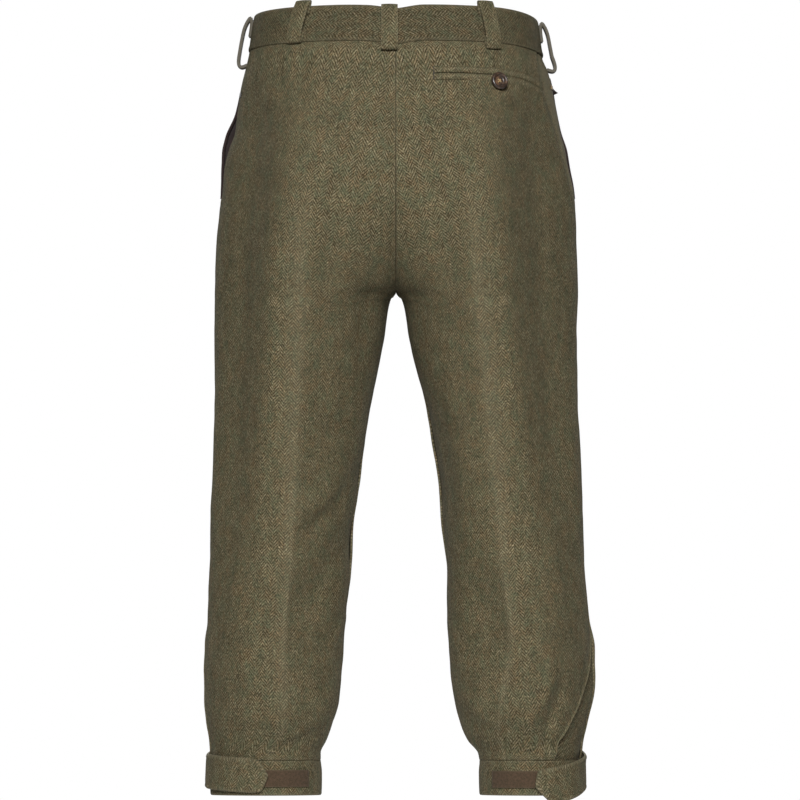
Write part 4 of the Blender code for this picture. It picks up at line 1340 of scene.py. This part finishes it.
def turnedDisc():  # its profile spun round, in metres
    radius, thick, dish, floor = (button[key] for key in ("radius", "thick", "dish", "floor"))
    rim = [(dish - 0.9, 1.55), (dish - 0.1, 2.1), (dish + 0.8, thick - 0.5), (dish + 1.7, thick),
           (radius - 0.9, thick - 0.45), (radius, thick - 1.7), (radius - 0.5, 0.8),
           (radius - 2.2, 0.05)]
    profile = [(0, floor), (1.5, floor), (3.6, floor), *smoothPath(rim, 30), (3.0, 0), (0, 0)]
    bm = bmesh.new()
    verts = [bm.verts.new((r * mm, 0, z * mm)) for r, z in profile]
    edges = [bm.edges.new(pair) for pair in zip(verts, verts[1:])]
    bmesh.ops.spin(bm, geom=verts + edges, axis=(0, 0, 1), cent=(0, 0, 0), steps=button["steps"],
                   angle=2 * math.pi, use_merge=True)
    bmesh.ops.remove_doubles(bm, verts=bm.verts, dist=0.000005)
    bmesh.ops.recalc_face_normals(bm, faces=bm.faces)
    return bm


def holePins(setDown):
    bm = bmesh.new()
    radius = button["holeRadius"] * mm
    for corner in holeCorners:
        out = Vector((math.cos(corner), math.sin(corner), 0)) * button["holesOut"] * mm
        bmesh.ops.create_cone(bm, cap_ends=True, segments=20, radius1=radius, radius2=radius,
                              depth=0.02, matrix=setDown @ Matrix.Translation(out))
    return bm


def drilledMesh(name, disc, pins):
    body = addObject(name + ".blank", meshFrom(disc, name))
    cutter = addObject(name + ".holes", meshFrom(pins, name + ".holes"))
    body.modifiers.new("holes", "BOOLEAN").object = cutter
    bpy.context.view_layer.update()
    graph = bpy.context.evaluated_depsgraph_get()
    drilled = bpy.data.meshes.new_from_object(body.evaluated_get(graph))
    for obj in (body, cutter):
        bpy.data.objects.remove(obj)
    drilled.name = name
    drilled.materials.clear()
    return drilled


def crossedThreads(setDown):  # two bundles of three strands
    bm = bmesh.new()
    for i in range(2):
        for strand in (-1, 0, 1):
            hole = Vector((math.cos(holeCorners[i]), math.sin(holeCorners[i]), 0)) * button["holesOut"]
            aside = Vector((-hole.y, hole.x, 0)).normalized() * strand * 0.42
            rise = 2.0 + 0.25 * i + (0.12 if strand == 0 else 0)
            shares = (1.12, 0.95, 0.45, -0.45, -0.95, -1.12)
            heights = (0.6, rise - 0.25, rise + 0.1, rise + 0.1, rise - 0.25, 0.6)
            way = [hole * share + aside + Vector((0, 0, h)) for share, h in zip(shares, heights)]
            addTube(bm, [setDown @ (p * mm) for p in way], button["threadRadius"] * mm)
    return bm


def buttonPiece(name, node, drop, around, lift, tilt=0.0):  # tilt turns it to face straight back
    middle = Vector(clothPoint(1, drop, around, lift) * mm)
    facing = Vector(outward(1, drop, around)) - Vector((0, tilt, 0))
    setDown = Matrix.Translation(middle) @ facing.to_track_quat("Z", "Y").to_matrix().to_4x4()
    disc = turnedDisc()
    disc.transform(setDown)
    drilled = drilledMesh(name, disc, holePins(setDown))
    finishPiece(name, drilled, horn, [node])
    drilled.set_sharp_from_angle(angle=math.radians(35))
    threadPiece(name + ".thread", crossedThreads(setDown), buttonThread)


tack = {"pitch": 0.5, "lift": 0.9, "radius": 0.26}


def tackPiece(name, side, middle, top, length, width, material):  # a short dense zigzag of thread
    count = int(length / tack["pitch"])
    drops = top + np.arange(count) * tack["pitch"]
    distances = middle + np.where(np.arange(count) % 2 == 0, -width / 2, width / 2)
    places = clothPoint(side, drops, backAround(side, drops, distances), tack["lift"])
    bm = bmesh.new()
    addTube(bm, [place * mm for place in places], tack["radius"] * mm)
    threadPiece(name, bm, material)


tackPiece("barTack.backPocket", 1, 38.6, 45.5, 13.0, 2.0, sewingThread)
tackPiece("barTack.hipPocketRight", 1, 161.5, 51.0, 5.0, 3.0, tackThread)
tackPiece("barTack.hipPocketLeft", -1, 161.5, 62.0, 5.0, 3.0, sewingThread)
buttonPiece("pocketButton", "pocket_button", 59.6, float(backAround(1, 59.6, 103.2)), 3.0, tilt=0.5)
buttonPiece("waistButton", "waist_button", 0.0, 0.955, 5.2)
print("buttons ready")

studio = {
    "floorDrop": 1.25,
    "floorRadius": 1.7,
    "white": 1.0,
    "ambient": 0.07,
    "middle": (0, 0, -0.4),
    "lights": [  # name, place, size, power
        ("key over the camera", (0, -4.2, 1.3), (1.2, 0.9), 250),
        ("left rim", (-1.8, 3.0, 0.3), (0.6, 2.0), 20),
        ("right rim", (1.8, 3.0, 0.3), (0.6, 2.0), 20),
        ("front of the garment", (0, 4.2, 1.3), (1.2, 0.9), 170),
    ],
}


def buildFloor():
    bm = bmesh.new()
    bmesh.ops.create_circle(bm, segments=96, radius=studio["floorRadius"], cap_ends=True)
    bmesh.ops.translate(bm, verts=bm.verts, vec=(0, 0, -studio["floorDrop"]))
    mesh = meshFrom(bm, "floor")
    made, tree, shader = startMaterial("pale studio floor")
    tone = noiseOf(tree, placeOf(tree), 1.5)
    colour = mixColour(tree, tone, (0.80, 0.80, 0.79, 1), (0.84, 0.84, 0.83, 1))
    tree.links.new(colour, shader.inputs["Base Color"])
    shader.inputs["Roughness"].default_value = 0.9
    mesh.materials.append(made)
    addObject("floor", mesh)


def softBox(name, place, size, power):
    light = bpy.data.lights.new(name, "AREA")
    light.shape = "RECTANGLE"
    light.size, light.size_y = size
    light.energy = power
    obj = addObject(name, light)
    obj.location = place
    aim = Vector(studio["middle"]) - Vector(place)
    obj.rotation_euler = aim.to_track_quat("-Z", "Y").to_euler()


def buildWorld():  # white to the camera, dim to the cloth
    world = bpy.data.worlds.new("white studio")
    world.use_nodes = True
    tree = world.node_tree
    inputs = {0: put(tree, "ShaderNodeLightPath"), 3: studio["ambient"], 4: studio["white"]}
    strength = put(tree, "ShaderNodeMapRange", inputs)
    background = tree.nodes["Background"]
    background.inputs["Color"].default_value = (1, 1, 1, 1)
    tree.links.new(strength, background.inputs["Strength"])
    bpy.context.scene.world = world
    bpy.context.scene.view_settings.view_transform = "Standard"


cameraView = {"distance": 3.6, "height": -0.381, "aside": 0.0042, "width": 0.84}


def buildCamera():
    camera = bpy.data.cameras.new("camera")
    camera.sensor_width = 36
    camera.lens = 36 * cameraView["distance"] / cameraView["width"]
    obj = addObject("camera", camera)
    obj.location = (cameraView["aside"], -cameraView["distance"], cameraView["height"])
    obj.rotation_euler = (math.pi / 2, 0, 0)
    bpy.context.scene.camera = obj


buildFloor()
for light in studio["lights"]:
    softBox(*light)
buildWorld()
buildCamera()
print("studio ready")
